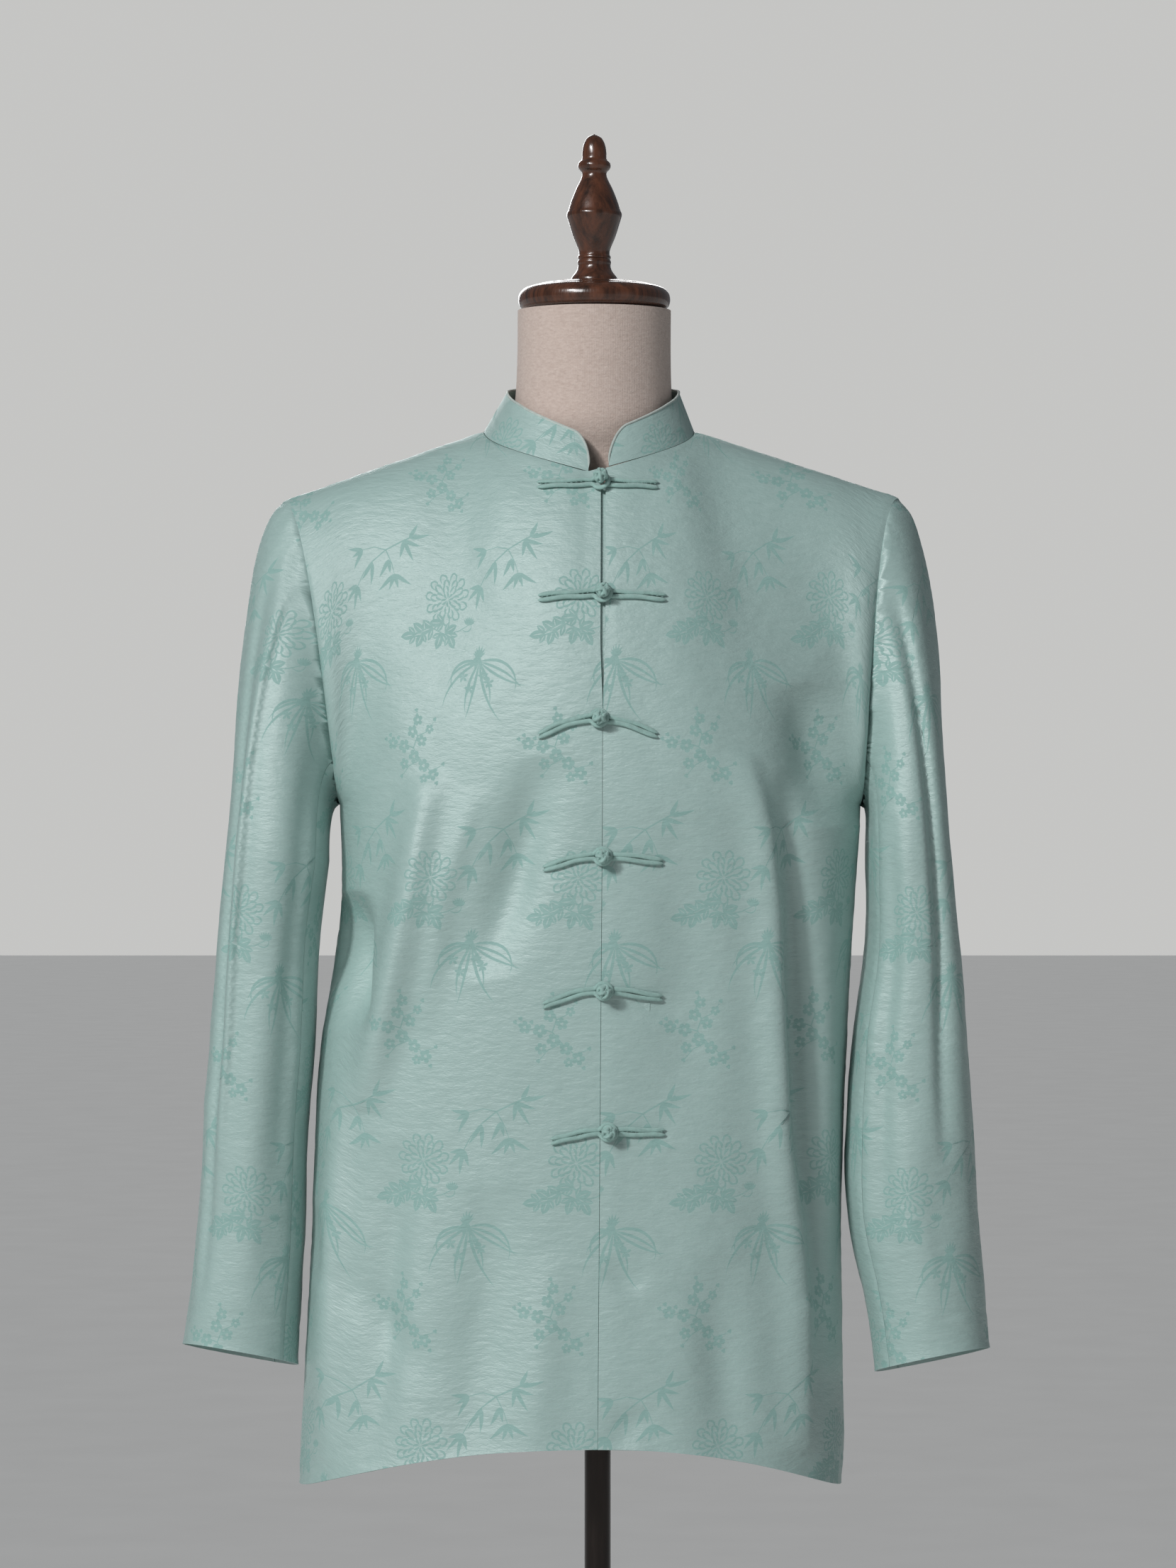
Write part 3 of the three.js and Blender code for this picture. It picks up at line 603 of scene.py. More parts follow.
def blade(
    base: tuple[float, float],
    heading: float,
    length: float,
    curl: float,
    width: float,
    fullest: float = 0.4,
) -> Array:
    """A pointed leaf or petal that bends along its length.

    Args:
        base: where it starts.
        heading: the direction it starts in, in degrees, 0 to the right and 90 up.
        length: its length.
        curl: how far it turns by its tip, in degrees.
        width: its greatest width.
        fullest: where along it that width is.

    Returns:
        The outline's corners.
    """
    count = 7 + int(abs(curl) / 30)
    along = np.linspace(0, 1, count)
    turned = np.radians(heading + curl * along**1.5)
    steps = np.stack([np.cos(turned), np.sin(turned)], axis=1) * length / (count - 1)
    travelled = np.cumsum((steps[1:] + steps[:-1]) / 2, axis=0)
    line = np.array(base) + np.vstack([np.zeros(2), travelled])
    half = width / 2 * np.sin(np.pi * along ** (math.log(0.5) / math.log(fullest))) ** 0.9
    aside = np.stack([-np.sin(turned), np.cos(turned)], axis=1) * half[:, None]
    return np.vstack([line[:1], (line - aside)[1:-1], line[-1:], (line + aside)[-2:0:-1]])


def twig(line: list[tuple[float, float]], width: float) -> Array:
    """A thin stem through a few places, tapering to its end.

    Args:
        line: places along its middle.
        width: its width at the start.

    Returns:
        The outline's corners.
    """
    points = np.array(line, float)
    run = np.gradient(points, axis=0)
    aside = np.stack([-run[:, 1], run[:, 0]], axis=1)
    aside = unit(aside) * (width / 2 * np.linspace(1, 0.55, len(points)))[:, None]
    return np.vstack([points - aside, (points + aside)[::-1]])


def blossom(centre: tuple[float, float], radius: float, turn: float, petals: int = 5) -> Array:
    """A flower seen from above, with round petals.

    Args:
        centre: its middle.
        radius: its petals' reach.
        turn: degrees it is turned by.
        petals: how many.

    Returns:
        The outline's corners.
    """
    angle = np.linspace(0, 2 * np.pi, 6 * petals, endpoint=False)
    reach = radius * (0.6 + 0.4 * np.sqrt(np.abs(np.sin(petals * angle / 2))))
    angle = angle + math.radians(turn)
    return np.array(centre) + np.stack([reach * np.cos(angle), reach * np.sin(angle)], axis=1)


@dataclass
class Motif:
    """One plant of the pattern: outlines in the figure weave, and in the ground weave over them."""

    place: tuple[float, float]
    figure: list[Array]
    ground: list[Array] = field(default_factory=list)


@dataclass(frozen=True)
class FourPlants:
    """The repeat of bamboo, chrysanthemum, orchid and plum that the silk is woven with."""

    across: float = 113
    down: float = 207
    columns: range = range(-9, 10)
    rows: range = range(-6, 7)
    widest: float = 48

    def bamboo(self) -> Motif:
        """An arching twig with groups of long leaves."""
        nodes = [(26, 25), (14, 19), (2, 12), (-9, 3), (-17, -6), (-22, -15)]
        figure = [
            twig(nodes, 1.3),
            twig([(2, 12), (-8, 14), (-18, 12)], 0.9),
            twig([(2, 12), (8, 2), (11, -6)], 0.9),
        ]
        groups = [
            ((16, 20), (-20, -60, -95)),
            ((11, -6), (-30, -65, -100, -130)),
            ((5, 5), (-75, -110)),
            ((-9, 3), (-85, -120)),
            ((-18, 12), (175, 205, -125)),
            ((-22, -15), (-75, -105, -140, 190)),
            ((20, 22), (8, 60)),
        ]
        for index, (foot, headings) in enumerate(groups):
            for turn, heading in enumerate(headings):
                length = 15 + 4 * math.sin(2.4 * index + 1.7 * turn)
                figure.append(blade(foot, heading, length, 14 * math.cos(index + turn), 3.3, 0.34))
        return Motif((0, 0), figure)

    def chrysanthemum(self) -> Motif:
        """A bloom of hooked petals over lobed leaves, with a curled bud beside it."""
        centre = np.array([6.0, 13.0])
        figure = []
        rings = (
            (8, 0.8, 5.5, 60, 1.9),
            (13, 4.8, 7.0, 80, 1.9),
            (19, 9.0, 8.0, 115, 1.9),
            (22, 13.2, 9.5, 150, 1.6),
        )
        for ring, (count, start, length, curl, width) in enumerate(rings):
            for index in range(count):
                angle = 360 / count * (index + 0.37 * ring)
                radians = math.radians(angle)
                foot = centre + start * np.array([math.cos(radians), math.sin(radians)])
                hook = curl if index % 2 == ring % 2 else -curl * 0.8
                figure.append(blade(tuple(foot), angle - hook * 0.15, length, hook, width, 0.55))
        figure.append(twig([(4, -2), (-4, -9), (-14, -13), (-24, -17)], 1.3))
        figure.append(twig([(-4, -9), (8, -14), (20, -12), (28, -8)], 1.1))
        ground = []
        leaves = [((-5, -8), 205, 16), ((-12, -13), 150, 13), ((-20, -15), 190, 13), ((-14, -13), 250, 12)]
        leaves += [((3, -12), 255, 13), ((10, -14), 300, 13), ((4, -4), 185, 13), ((6, -12), 20, 12)]
        for foot, heading, length in leaves:
            for turn, share in ((0, 1.0), (48, 0.68), (-48, 0.68)):
                figure.append(blade(foot, heading + turn, length * share, 0, 6.4 * share, 0.55))
                start = math.radians(heading + turn)
                vein = (foot[0] + 2.6 * math.cos(start), foot[1] + 2.6 * math.sin(start))
                ground.append(blade(vein, heading + turn, length * share * 0.62, 0, 0.7, 0.4))
        for index in range(7):
            figure.append(blade((28, -8), 10 + 24 * index, 6.5, 70 - 20 * index, 1.7, 0.5))
        figure.append(blade((22, -11), -40, 14, 190, 0.9, 0.4))
        return Motif((54, -36), figure, ground)

    def orchid(self) -> Motif:
        """A tuft with long leaves that arch over and hang, and small flowers."""
        figure = []
        for heading in range(35, 150, 18):
            figure.append(blade((-3, 16), heading, 8 + 2 * math.sin(heading), 0, 2.1, 0.3))
        figure += [blade((-3, 18), heading, 13, 12, 3.0, 0.4) for heading in (230, 255, 285)]
        arches = [
            (168, 40, 150, 2.2), (185, 34, 70, 2.0), (205, 47, 60, 2.2), (240, 41, 42, 2.2),
            (262, 45, -10, 2.2), (280, 50, 34, 2.3), (305, 36, -45, 2.0), (12, 48, -130, 2.3),
            (-15, 42, -35, 2.1), (322, 44, 34, 2.1),
        ]
        for heading, length, curl, width in arches:
            figure.append(blade((-2, 13), heading, length, curl, width, 0.35))
        for place in ((-15, 2), (-9, -7), (7, -3), (2, 2)):
            figure += [blade(place, 72 * turn + 20, 4.6, 20, 2.2, 0.55) for turn in range(5)]
        return Motif((-17, -85), figure)

    def plum(self) -> Motif:
        """Crooked twigs with round-petalled blossoms and buds."""
        figure = [
            twig([(2, 26), (0, 17), (4, 9), (1, 0), (8, -8), (17, -16), (22, -24)], 1.3),
            twig([(1, 0), (-9, 3), (-17, 1), (-25, 5)], 1.0),
            twig([(4, 9), (12, 13), (17, 20)], 0.9),
            twig([(8, -8), (-2, -13), (-8, -20)], 0.9),
            twig([(17, -16), (27, -13)], 0.8),
        ]
        ground = []
        flowers = [
            (3, 21, 4.4), (-1, 12, 4.8), (8, 6, 4.6), (-8, 1, 5.2), (-19, 3, 4.8), (2, -6, 5.2),
            (11, -12, 5.0), (-7, -12, 4.4), (20, -19, 5.0), (13, -22, 3.8), (14, 15, 3.6),
        ]
        for index, (x, y, radius) in enumerate(flowers):
            figure.append(blossom((x, y), radius, 31 * index))
            ground.append(blossom((x, y), radius * 0.27, 0, 3))
        buds = ((-26, 6), (-22, 9), (18, 22), (-9, -21), (28, -12), (24, -26), (1, 28), (-14, 7))
        for bud in buds:
            figure.append(blossom(bud, 1.7, 0, 3))
        return Motif((41, -135), figure, ground)

    def over(
        self, low: Array, high: Array, phase: tuple[float, float]
    ) -> tuple[list[Array], list[Array]]:
        """The outlines that fall on a stretch of cloth.

        Args:
            low: the stretch's lowest corner, on the flat cloth.
            high: its highest corner.
            phase: where a bamboo stands.

        Returns:
            The figure outlines and the ground outlines.
        """
        figure, ground = [], []
        for motif in (self.bamboo(), self.chrysanthemum(), self.orchid(), self.plum()):
            for column in self.columns:
                for row in self.rows:
                    place = np.array([
                        phase[0] + motif.place[0] + column * self.across,
                        phase[1] + motif.place[1] + row * self.down,
                    ])
                    if np.all(place > low - self.widest) and np.all(place < high + self.widest):
                        figure += [outline + place for outline in motif.figure]
                        ground += [outline + place for outline in motif.ground]
        return self.touching(figure, low, high), self.touching(ground, low, high)

    def touching(self, outlines: list[Array], low: Array, high: Array) -> list[Array]:
        """Those outlines that reach into the box between two corners."""
        return [line for line in outlines if np.all(line.max(0) > low) and np.all(line.min(0) < high)]


# ---------------------------------------------------------------- meshes


def make_mesh(
    name: str,
    points: Array,
    faces: list[Array],
    normals: Array | None = None,
    flat: Array | None = None,
    slots: Array | None = None,
) -> bpy.types.Object:
    """An object from points and faces.

    Args:
        name: the piece's name.
        points: its points, in millimetres.
        faces: point indexes, one array of equal-sided faces after another.
        normals: a normal for each corner, or None to shade smoothly.
        flat: flat cloth coordinates of each corner, in metres, or None.
        slots: the material slot of each face, or None.

    Returns:
        The linked object.
    """
    mesh = bpy.data.meshes.new(name)
    corners = np.concatenate([block.ravel() for block in faces]).astype(np.int32)
    sizes = np.concatenate([np.full(len(block), block.shape[1]) for block in faces]).astype(np.int32)
    mesh.vertices.add(len(points))
    mesh.vertices.foreach_set("co", (points * MM).astype(np.float32).ravel())
    mesh.loops.add(len(corners))
    mesh.loops.foreach_set("vertex_index", corners)
    mesh.polygons.add(len(sizes))
    mesh.polygons.foreach_set("loop_start", np.concatenate([[0], np.cumsum(sizes)[:-1]]).astype(np.int32))
    mesh.polygons.foreach_set("loop_total", sizes)
    mesh.polygons.foreach_set("use_smooth", np.ones(len(sizes), bool))
    if slots is not None:
        mesh.polygons.foreach_set("material_index", slots.astype(np.int32))
    mesh.update(calc_edges=True)
    if flat is not None:
        mesh.uv_layers.new(name="Cloth").data.foreach_set("uv", flat.astype(np.float32).ravel())
    if normals is not None:
        mesh.normals_split_custom_set(normals.astype(float).tolist())
    built = bpy.data.objects.new(name, mesh)
    bpy.context.scene.collection.objects.link(built)
    return built


def grid_faces(rows: int, columns: int, closed: bool = False) -> Array:
    """Quads over a grid of points, closed round its columns if asked.

    Args:
        rows: rows of points.
        columns: points in a row.
        closed: whether each row is a ring.

    Returns:
        Four point indexes a quad.
    """
    across = np.arange(columns if closed else columns - 1)
    a = (np.arange(rows - 1)[:, None] * columns + across).ravel()
    b = (np.arange(rows - 1)[:, None] * columns + (across + 1) % columns).ravel()
    return np.stack([a, b, b + columns, a + columns], axis=1)


class ClothTable:
    """A cloth surface on a grid, with flat coordinates and normals that can be read anywhere."""

    least_step: float = 0.35
    coarse: int = 5
    block_size: int = 2000
    rounds: int = 12
    longest_stride: float = 12
    smallest: float = 1e-6

    def __init__(self, points: Array, turn: int, zero_row: int, zero_column: int) -> None:
        """Measures the cloth.

        Args:
            points: grid of points, rows down the cloth and columns across it.
            turn: 1 where the columns run to the right as seen from outside, and -1 to the left.
            zero_row: the row that the flat height is measured from.
            zero_column: the column that the flat width is measured from.
        """
        self.points = points
        down = np.linalg.norm(np.diff(points, axis=0), axis=2)
        height = np.vstack([np.zeros(points.shape[1]), -np.cumsum(down, axis=0)])
        self.height = height - height[zero_row]
        across = np.linalg.norm(np.diff(points, axis=1), axis=2)
        flat_step = across**2 - np.diff(self.height, axis=1) ** 2
        step = np.sqrt(np.maximum(flat_step, (self.least_step * across) ** 2))
        width = np.hstack([np.zeros((points.shape[0], 1)), np.cumsum(step, axis=1)])
        width = width - width[:, zero_column : zero_column + 1]
        width[:zero_row] = width[zero_row]
        self.width = turn * width
        along_u, along_v = np.gradient(points, axis=1), np.gradient(points, axis=0)
        self.normals = unit(np.cross(along_v, along_u)) * turn

    def read(self, values: Array, places: Array) -> Array:
        """Values between grid points, at (row, column) places.

        Args:
            values: a grid of values.
            places: where to read it.

        Returns:
            A value for each place.
        """
        rows, columns = values.shape[:2]
        i = np.clip(np.floor(places[:, 0]).astype(int), 0, rows - 2)
        j = np.clip(np.floor(places[:, 1]).astype(int), 0, columns - 2)
        s, t = places[:, 0] - i, places[:, 1] - j
        if values.ndim == 3:
            s, t = s[:, None], t[:, None]
        top = mix(values[i, j], values[i, j + 1], t)
        return mix(top, mix(values[i + 1, j], values[i + 1, j + 1], t), s)

    def locate(self, first: Array, second: Array, targets: Array) -> Array:
        """Where two grids of values reach given pairs.

        Args:
            first: grid of the first value.
            second: grid of the second value.
            targets: the pairs to find.

        Returns:
            The (row, column) place of each pair.
        """
        rows, columns = first.shape
        coarse_i, coarse_j = np.arange(0, rows, self.coarse), np.arange(0, columns, self.coarse)
        sparse = np.ix_(coarse_i, coarse_j)
        flat = np.stack([first[sparse], second[sparse]], axis=-1).reshape(-1, 2)
        places = np.empty((len(targets), 2))
        for start in range(0, len(targets), self.block_size):
            block = slice(start, start + self.block_size)
            best = np.argmin(((targets[block, None] - flat[None]) ** 2).sum(axis=2), axis=1)
            places[block, 0] = coarse_i[best // len(coarse_j)]
            places[block, 1] = coarse_j[best % len(coarse_j)]
        limit = np.array([rows - 1, columns - 1], float)
        for _ in range(self.rounds):
            here = np.stack([self.read(first, places), self.read(second, places)], axis=1)
            down = np.minimum(places + [0.5, 0], limit)
            up = np.maximum(places - [0.5, 0], 0)
            right = np.minimum(places + [0, 0.5], limit)
            left = np.maximum(places - [0, 0.5], 0)
            span_i = np.maximum((down - up)[:, :1], self.smallest)
            span_j = np.maximum((right - left)[:, 1:], self.smallest)
            change_i = [self.read(grid, down) - self.read(grid, up) for grid in (first, second)]
            change_j = [self.read(grid, right) - self.read(grid, left) for grid in (first, second)]
            by_i, by_j = np.stack(change_i, axis=1) / span_i, np.stack(change_j, axis=1) / span_j
            off = targets - here
            area = by_i[:, 0] * by_j[:, 1] - by_i[:, 1] * by_j[:, 0]
            area = np.where(np.abs(area) < self.smallest, self.smallest, area)
            step_i = (off[:, 0] * by_j[:, 1] - off[:, 1] * by_j[:, 0]) / area
            step_j = (by_i[:, 0] * off[:, 1] - by_i[:, 1] * off[:, 0]) / area
            stride = np.stack([step_i, step_j], axis=1)
            places += np.clip(stride, -self.longest_stride, self.longest_stride)
            places = np.clip(places, 0, limit)
        return places


    def unroll(self, flat: Array) -> tuple[Array, Array]:
        """Takes flat cloth back to its shape.

        Args:
            flat: places on the flat cloth.

        Returns:
            The points there, and the outward directions.
        """
        places = self.locate(self.width, self.height, flat)
        return self.read(self.points, places), unit(self.read(self.normals, places))


@dataclass
class SilkPiece:
    """A cut and sewn piece of the silk, with the pattern woven in as its own faces."""

    name: str
    nodes: tuple[str, ...]
    table: ClothTable
    phase: tuple[float, float]
    thickness: float = 1.3
    spacing: float = 4.6
    patterned: bool = True
    inner_spacing: float = 9.0
    edge_share: float = 0.7
    corner_share: float = 0.35
    row_share: float = 0.87
    filling_start: tuple[float, float] = (0.37, 0.41)

    def outline(self) -> Array:
        """The piece's edge on the flat cloth, counter-clockwise."""
        flat = np.stack([self.table.width, self.table.height], axis=-1)
        if flat[0, 0, 0] > flat[0, -1, 0]:
            flat = flat[:, ::-1]
        kept = []
        for line in (flat[:, 0], flat[-1], flat[::-1, -1], flat[0, ::-1]):
            kept.append(line[0])
            for point in line[1:-1]:
                clear = np.linalg.norm(point - line[-1]) > self.corner_share * self.spacing
                if clear and np.linalg.norm(point - kept[-1]) > self.edge_share * self.spacing:
                    kept.append(point)
        return np.array(kept)

    def filling(self, low: Array, high: Array, spacing: float) -> Array:
        """Staggered points that fill the piece.

        Args:
            low: the box's lowest corner.
            high: its highest corner.
            spacing: distance between points.

        Returns:
            The points.
        """
        start_u, start_v = self.filling_start
        rows = np.arange(low[1] + start_v * spacing, high[1], spacing * self.row_share)
        columns = np.arange(low[0] + start_u * spacing, high[0], spacing)
        v, u = np.meshgrid(rows, columns, indexing="ij")
        stagger = spacing / 2 * (np.arange(len(rows)) % 2)[:, None]
        return np.stack([u + stagger, v], axis=-1).reshape(-1, 2)

    def cut(
        self, edge: Array, spacing: float, figure: list[Array], ground: list[Array]
    ) -> tuple[Array, Array, Array]:
        """Triangles over the flat piece.

        Args:
            edge: the piece's edge.
            spacing: distance between the filling points.
            figure: outlines in the figure weave.
            ground: outlines in the ground weave over them.

        Returns:
            Flat points, triangles and each triangle's weave.
        """
        low, high = edge.min(0), edge.max(0)
        loops = [edge, *figure, *ground]
        starts = np.concatenate([[0], np.cumsum([len(loop) for loop in loops])])
        points = np.vstack([*loops, self.filling(low, high, spacing)])
        faces = [list(range(a, b)) for a, b in zip(starts[:-1], starts[1:])]
        result = delaunay_2d_cdt([Vector(p) for p in points.tolist()], [], faces, 0, 1e-3, True)
        places, triangles, owners = result[0], result[2], result[5]
        last_figure = len(figure)
        kept, weave = [], []
        for triangle, owner in zip(triangles, owners):
            if 0 in owner:
                kept.append(triangle)
                drawn = any(0 < face <= last_figure for face in owner)
                cleared = any(face > last_figure for face in owner)
                weave.append(Weave.FIGURE.value if drawn and not cleared else Weave.GROUND.value)
        kept = np.array(kept)
        flat = np.array([(p.x, p.y) for p in places])
        used, packed = np.unique(kept, return_inverse=True)
        return flat[used], packed.reshape(-1, 3), np.array(weave)

    def rim(self, triangles: Array) -> Array:
        """The points round the edge of the triangles, in order.

        Args:
            triangles: point indexes.

        Returns:
            Point indexes.
        """
        edges = np.vstack([triangles[:, [0, 1]], triangles[:, [1, 2]], triangles[:, [2, 0]]])
        pairs = {tuple(edge) for edge in edges.tolist()}
        after = {a: b for a, b in pairs if (b, a) not in pairs}
        start = next(iter(after))
        loop = [start]
        while after[loop[-1]] != start and len(loop) <= len(after):
            loop.append(after[loop[-1]])
        return np.array(loop)

    def matching(self, wanted: Array, places: Array) -> Array:
        """Which places are the wanted ones, or the nearest to them.

        Args:
            wanted: flat points to look for.
            places: flat points to look among.

        Returns:
            An index into the places for each wanted point.
        """
        order = {tuple(np.round(place, 3)): index for index, place in enumerate(places)}
        found = np.array([order.get(tuple(np.round(point, 3)), -1) for point in wanted])
        for missing in np.flatnonzero(found < 0):
            found[missing] = int(np.argmin(((places - wanted[missing]) ** 2).sum(axis=1)))
        return found

    def build(self, finishes: list[bpy.types.Material]) -> bpy.types.Object:
        """The piece's mesh: its outer face, its inner face, and the edge between them.

        Args:
            finishes: the ground's finish, then the figure's.

        Returns:
            The linked object.
        """
        edge = self.outline()
        figure, ground = [], []
        if self.patterned:
            figure, ground = FourPlants().over(edge.min(0), edge.max(0), self.phase)
        flat, outer, weave = self.cut(edge, self.spacing, figure, ground)
        rim = self.rim(outer)
        back_flat, inner, _ = self.cut(flat[rim], self.inner_spacing, [], [])
        points, normals = self.table.unroll(flat)
        back_points, back_normals = self.table.unroll(back_flat)
        back = back_points - back_normals * self.thickness
        inner_rim = self.matching(flat[rim], back_flat)
        count = len(flat)
        after, inner_after = np.roll(rim, -1), np.roll(inner_rim, -1)
        side = np.stack([rim, inner_rim + count, inner_after + count, after], axis=1)
        merged = inner_rim == inner_after
        wedge, side = side[merged][:, [0, 1, 3]], side[~merged]
        all_points = np.vstack([points, back])
        all_flat = np.vstack([flat, back_flat]) * MM
        a, b = all_points[side[:, 0]], all_points[side[:, 1]]
        outward = unit(np.cross(b - a, all_points[side[:, 3]] - a))
        corner_normals = np.vstack([
            normals[outer].reshape(-1, 3),
            -back_normals[inner[:, ::-1]].reshape(-1, 3),
            np.repeat(outward, 4, axis=0),
            normals[wedge[:, [0, 0, 2]]].reshape(-1, 3),
        ])
        faces = [outer, inner[:, ::-1] + count, side, wedge]
        corners = np.concatenate([block.ravel() for block in faces])
        slots = np.concatenate([weave, np.zeros(len(inner) + len(rim), int)])
        piece = make_mesh(self.name, all_points, faces, corner_normals, all_flat[corners], slots)
        for finish in finishes:
            piece.data.materials.append(finish)
        LOG.info("%s: %d triangles outside, %d outlines", self.name, len(outer), len(figure))
        return piece


# ---------------------------------------------------------------- the sewn pieces


@dataclass
class Tailoring:
    """Where the silk folds, and how it lies at its seams and hems."""

    front_folds: tuple[Fold | Pull, ...] = (
        Fold(
            ((-122, 1150), (-133, 1060), (-141, 1018), (-148, 985), (-157, 953), (-171, 900)),
            17, 19, 0.7, 0.7,
        ),
        Fold(((-178, 1062), (-180, 1010), (-174, 960)), 15, -24, 0.7, 0.9),
        Fold(((-40, 1160), (-62, 1070), (-84, 1000)), 18, -13),
        Fold(((-90, 1140), (-112, 1060), (-128, 960)), 14, 7, 0.7),
        Fold(
            ((107, 1165), (122, 1110), (129, 1050), (132, 965), (136, 880), (147, 820), (152, 650)),
            15, 12, 0.5, 0.5,
        ),
        Fold(((140, 1150), (146, 1050), (150, 900), (158, 760)), 12, -13, 1.0, 0.6),
        Fold(((150, 1215), (160, 1170), (168, 1110)), 22, -16),
        Fold(((172, 1060), (170, 900), (172, 700)), 9, 4),
        Fold(((-186, 930), (-196, 780), (-200, 640)), 12, 8, 0.7),
        Fold(((-146, 880), (-158, 760), (-166, 640)), 16, -9),
        Fold(((26, 690), (12, 655)), 14, -3),
        Fold(((88, 800), (94, 640)), 18, -6),
        Fold(((60, 1120), (66, 1000), (60, 880)), 26, -5),
        Fold(((-76, 850), (-96, 640)), 22, -7),
        Fold(((-36, 800), (-48, 640)), 16, 4),
        Fold(((-205, 830), (-203, 770)), 7, -3),
        Pull((-190, 790), (-120, 700), 14, -4),
        Pull((8, 985), (62, 976), 10, -3),
        Pull((2, 790), (36, 776), 9, -2.5),
        Pull((-150, 1275), (-60, 1225), 40, -3),
        Pull((90, 1290), (165, 1240), 36, -3),
    )
    back_folds: tuple[Fold | Pull, ...] = (
        Fold(((-120, 1200), (-134, 1020), (-150, 840)), 22, -10, 0.7),
        Fold(((-60, 1090), (-72, 700)), 22, 7),
        Fold(((20, 1060), (24, 660)), 20, -7, 0.8),
        Fold(((96, 1120), (92, 720)), 22, 8),
        Fold(((140, 1190), (150, 860)), 18, -10, 0.7),
        Fold(((-10, 900), (-24, 640)), 16, 4),
        Pull((-150, 1290), (150, 1290), 30, -3),
    )
    sleeve_folds: dict[Side, tuple[SleeveFold, ...]] = field(
        default_factory=lambda: {
            Side.LEFT: (
                SleeveFold(52, 1322, 860, 9, 7, 0.6, 8),
                SleeveFold(33, 1322, 760, 8, -7, 1.0, 14),
                SleeveFold(300, 1240, 860, 14, -7),
                SleeveFold(120, 1180, 840, 12, -4),
                SleeveFold(92, 1000, 730, 14, 3),
                SleeveFold(14, 900, 720, 12, -2.5),
            ),
            Side.RIGHT: (
                SleeveFold(66, 1330, 860, 9, -8, 0.8),
                SleeveFold(40, 1310, 800, 14, 4),
                SleeveFold(290, 1230, 880, 14, -7),
                SleeveFold(118, 1120, 800, 11, -5),
                SleeveFold(92, 900, 730, 12, 3),
            ),
        }
    )
    seam_groove: float = 3.2
    seam_draw: float = 16
    pucker_height: float = 0.8
    pucker_size: tuple[float, float] = (6.5, 5)
    pucker_reach: float = 9
    hem_depth: float = 20
    cuff_depth: float = 28
    stitch_width: float = 1.7
    stitch_pitch: float = 7.5
    stitch_sink: float = 0.55
    panel_width: float = 235
    panel_top: float = 300
    panel_foot: float = 480
    belly: tuple[float, float] = (200, 120)
    neck_seam_away: float = 40
    opening_gap: tuple[float, float] = (0.3, 3.6)
    opening_spreads: tuple[float, float] = (1197, 1247)
    opening_edge: tuple[float, float] = (3.0, 0.35)
    overlap: float = 0.8
    sleeve_girth: float = 60
    sleeve_top: float = 260
    sleeve_length: float = 370
    round_the_sleeve: float = 1.15
    sleeve_seams: tuple[float, float] = (140, -120)
    gathers: float = 2.2
    gather_reach: float = 0.07

    def seam(self, distance: Array, along: Array, seed: int, depth: float = 1.1) -> Array:
        """How a seam draws the cloth in and puckers it beside itself.

        Args:
            distance: how far off the seam.
            along: how far along it.
            seed: which puckers.
            depth: how deep it draws in.

        Returns:
            The distances moved.
        """
        beside = 1 - np.exp(-((distance / self.seam_groove) ** 2))
        waves = soft_noise(along, distance * 0 + seed, self.pucker_size, seed)
        pucker = waves * np.exp(-distance / self.pucker_reach)
        return beside * (depth * np.exp(-distance / self.seam_draw) + self.pucker_height * pucker)

    def hem(self, distance: Array, along: Array, depth_of_hem: float, seed: int) -> Array:
        """How the blind stitching of a hem dimples the cloth above its edge.

        Args:
            distance: how far above the edge.
            along: how far along it.
            depth_of_hem: where the stitches are.
            seed: which dimples.

        Returns:
            The distances moved.
        """
        stitched = np.exp(-(((distance - depth_of_hem) / self.stitch_width) ** 2))
        regular = 0.65 + 0.35 * np.sin(along * 2 * np.pi / self.stitch_pitch)
        dimples = regular + 0.3 * soft_noise(along, distance, (22, 60), seed)
        edge = 0.5 * np.exp(-((distance / 3.0) ** 2))
        return -self.stitch_sink * stitched * dimples + edge

    def crumple(self, across: Array, down: Array, seed: int) -> Array:
        """The soft unevenness of hanging silk.

        Args:
            across: places across the cloth.
            down: places down it.
            seed: which pattern.

        Returns:
            The distances moved.
        """
        broad = 1.5 * soft_noise(across, down, (60, 130), seed)
        middle = 0.55 * soft_noise(across + 0.35 * down, down, (22, 46), seed + 1)
        small = 0.16 * soft_noise(across - 0.5 * down, down, (8, 13), seed + 2)
        return broad + middle + small

    def ease(self, points: Array, share: Array, fall: Array) -> Array:
        """Softens the panel below the neck's corner, away from its edges.

        Args:
            points: the panel.
            share: its places across.
            fall: its places down.

        Returns:
            The softened panel.
        """
        reach = 9
        weights = np.hanning(2 * reach + 3)[1:-1]
        weights = weights / weights.sum()
        padded = np.pad(points, ((0, 0), (reach, reach), (0, 0)), mode="edge")
        wide = points.shape[1]
        soft = sum(weight * padded[:, k : k + wide] for k, weight in enumerate(weights))
        part = ramp(share, 0.05, 0.2) * (1 - ramp(share, 0.75, 0.9))
        part = part * ramp(fall, 0, 0.12) * (1 - ramp(fall, 1.0, 1.1))
        return mix(points, soft, part[..., None])

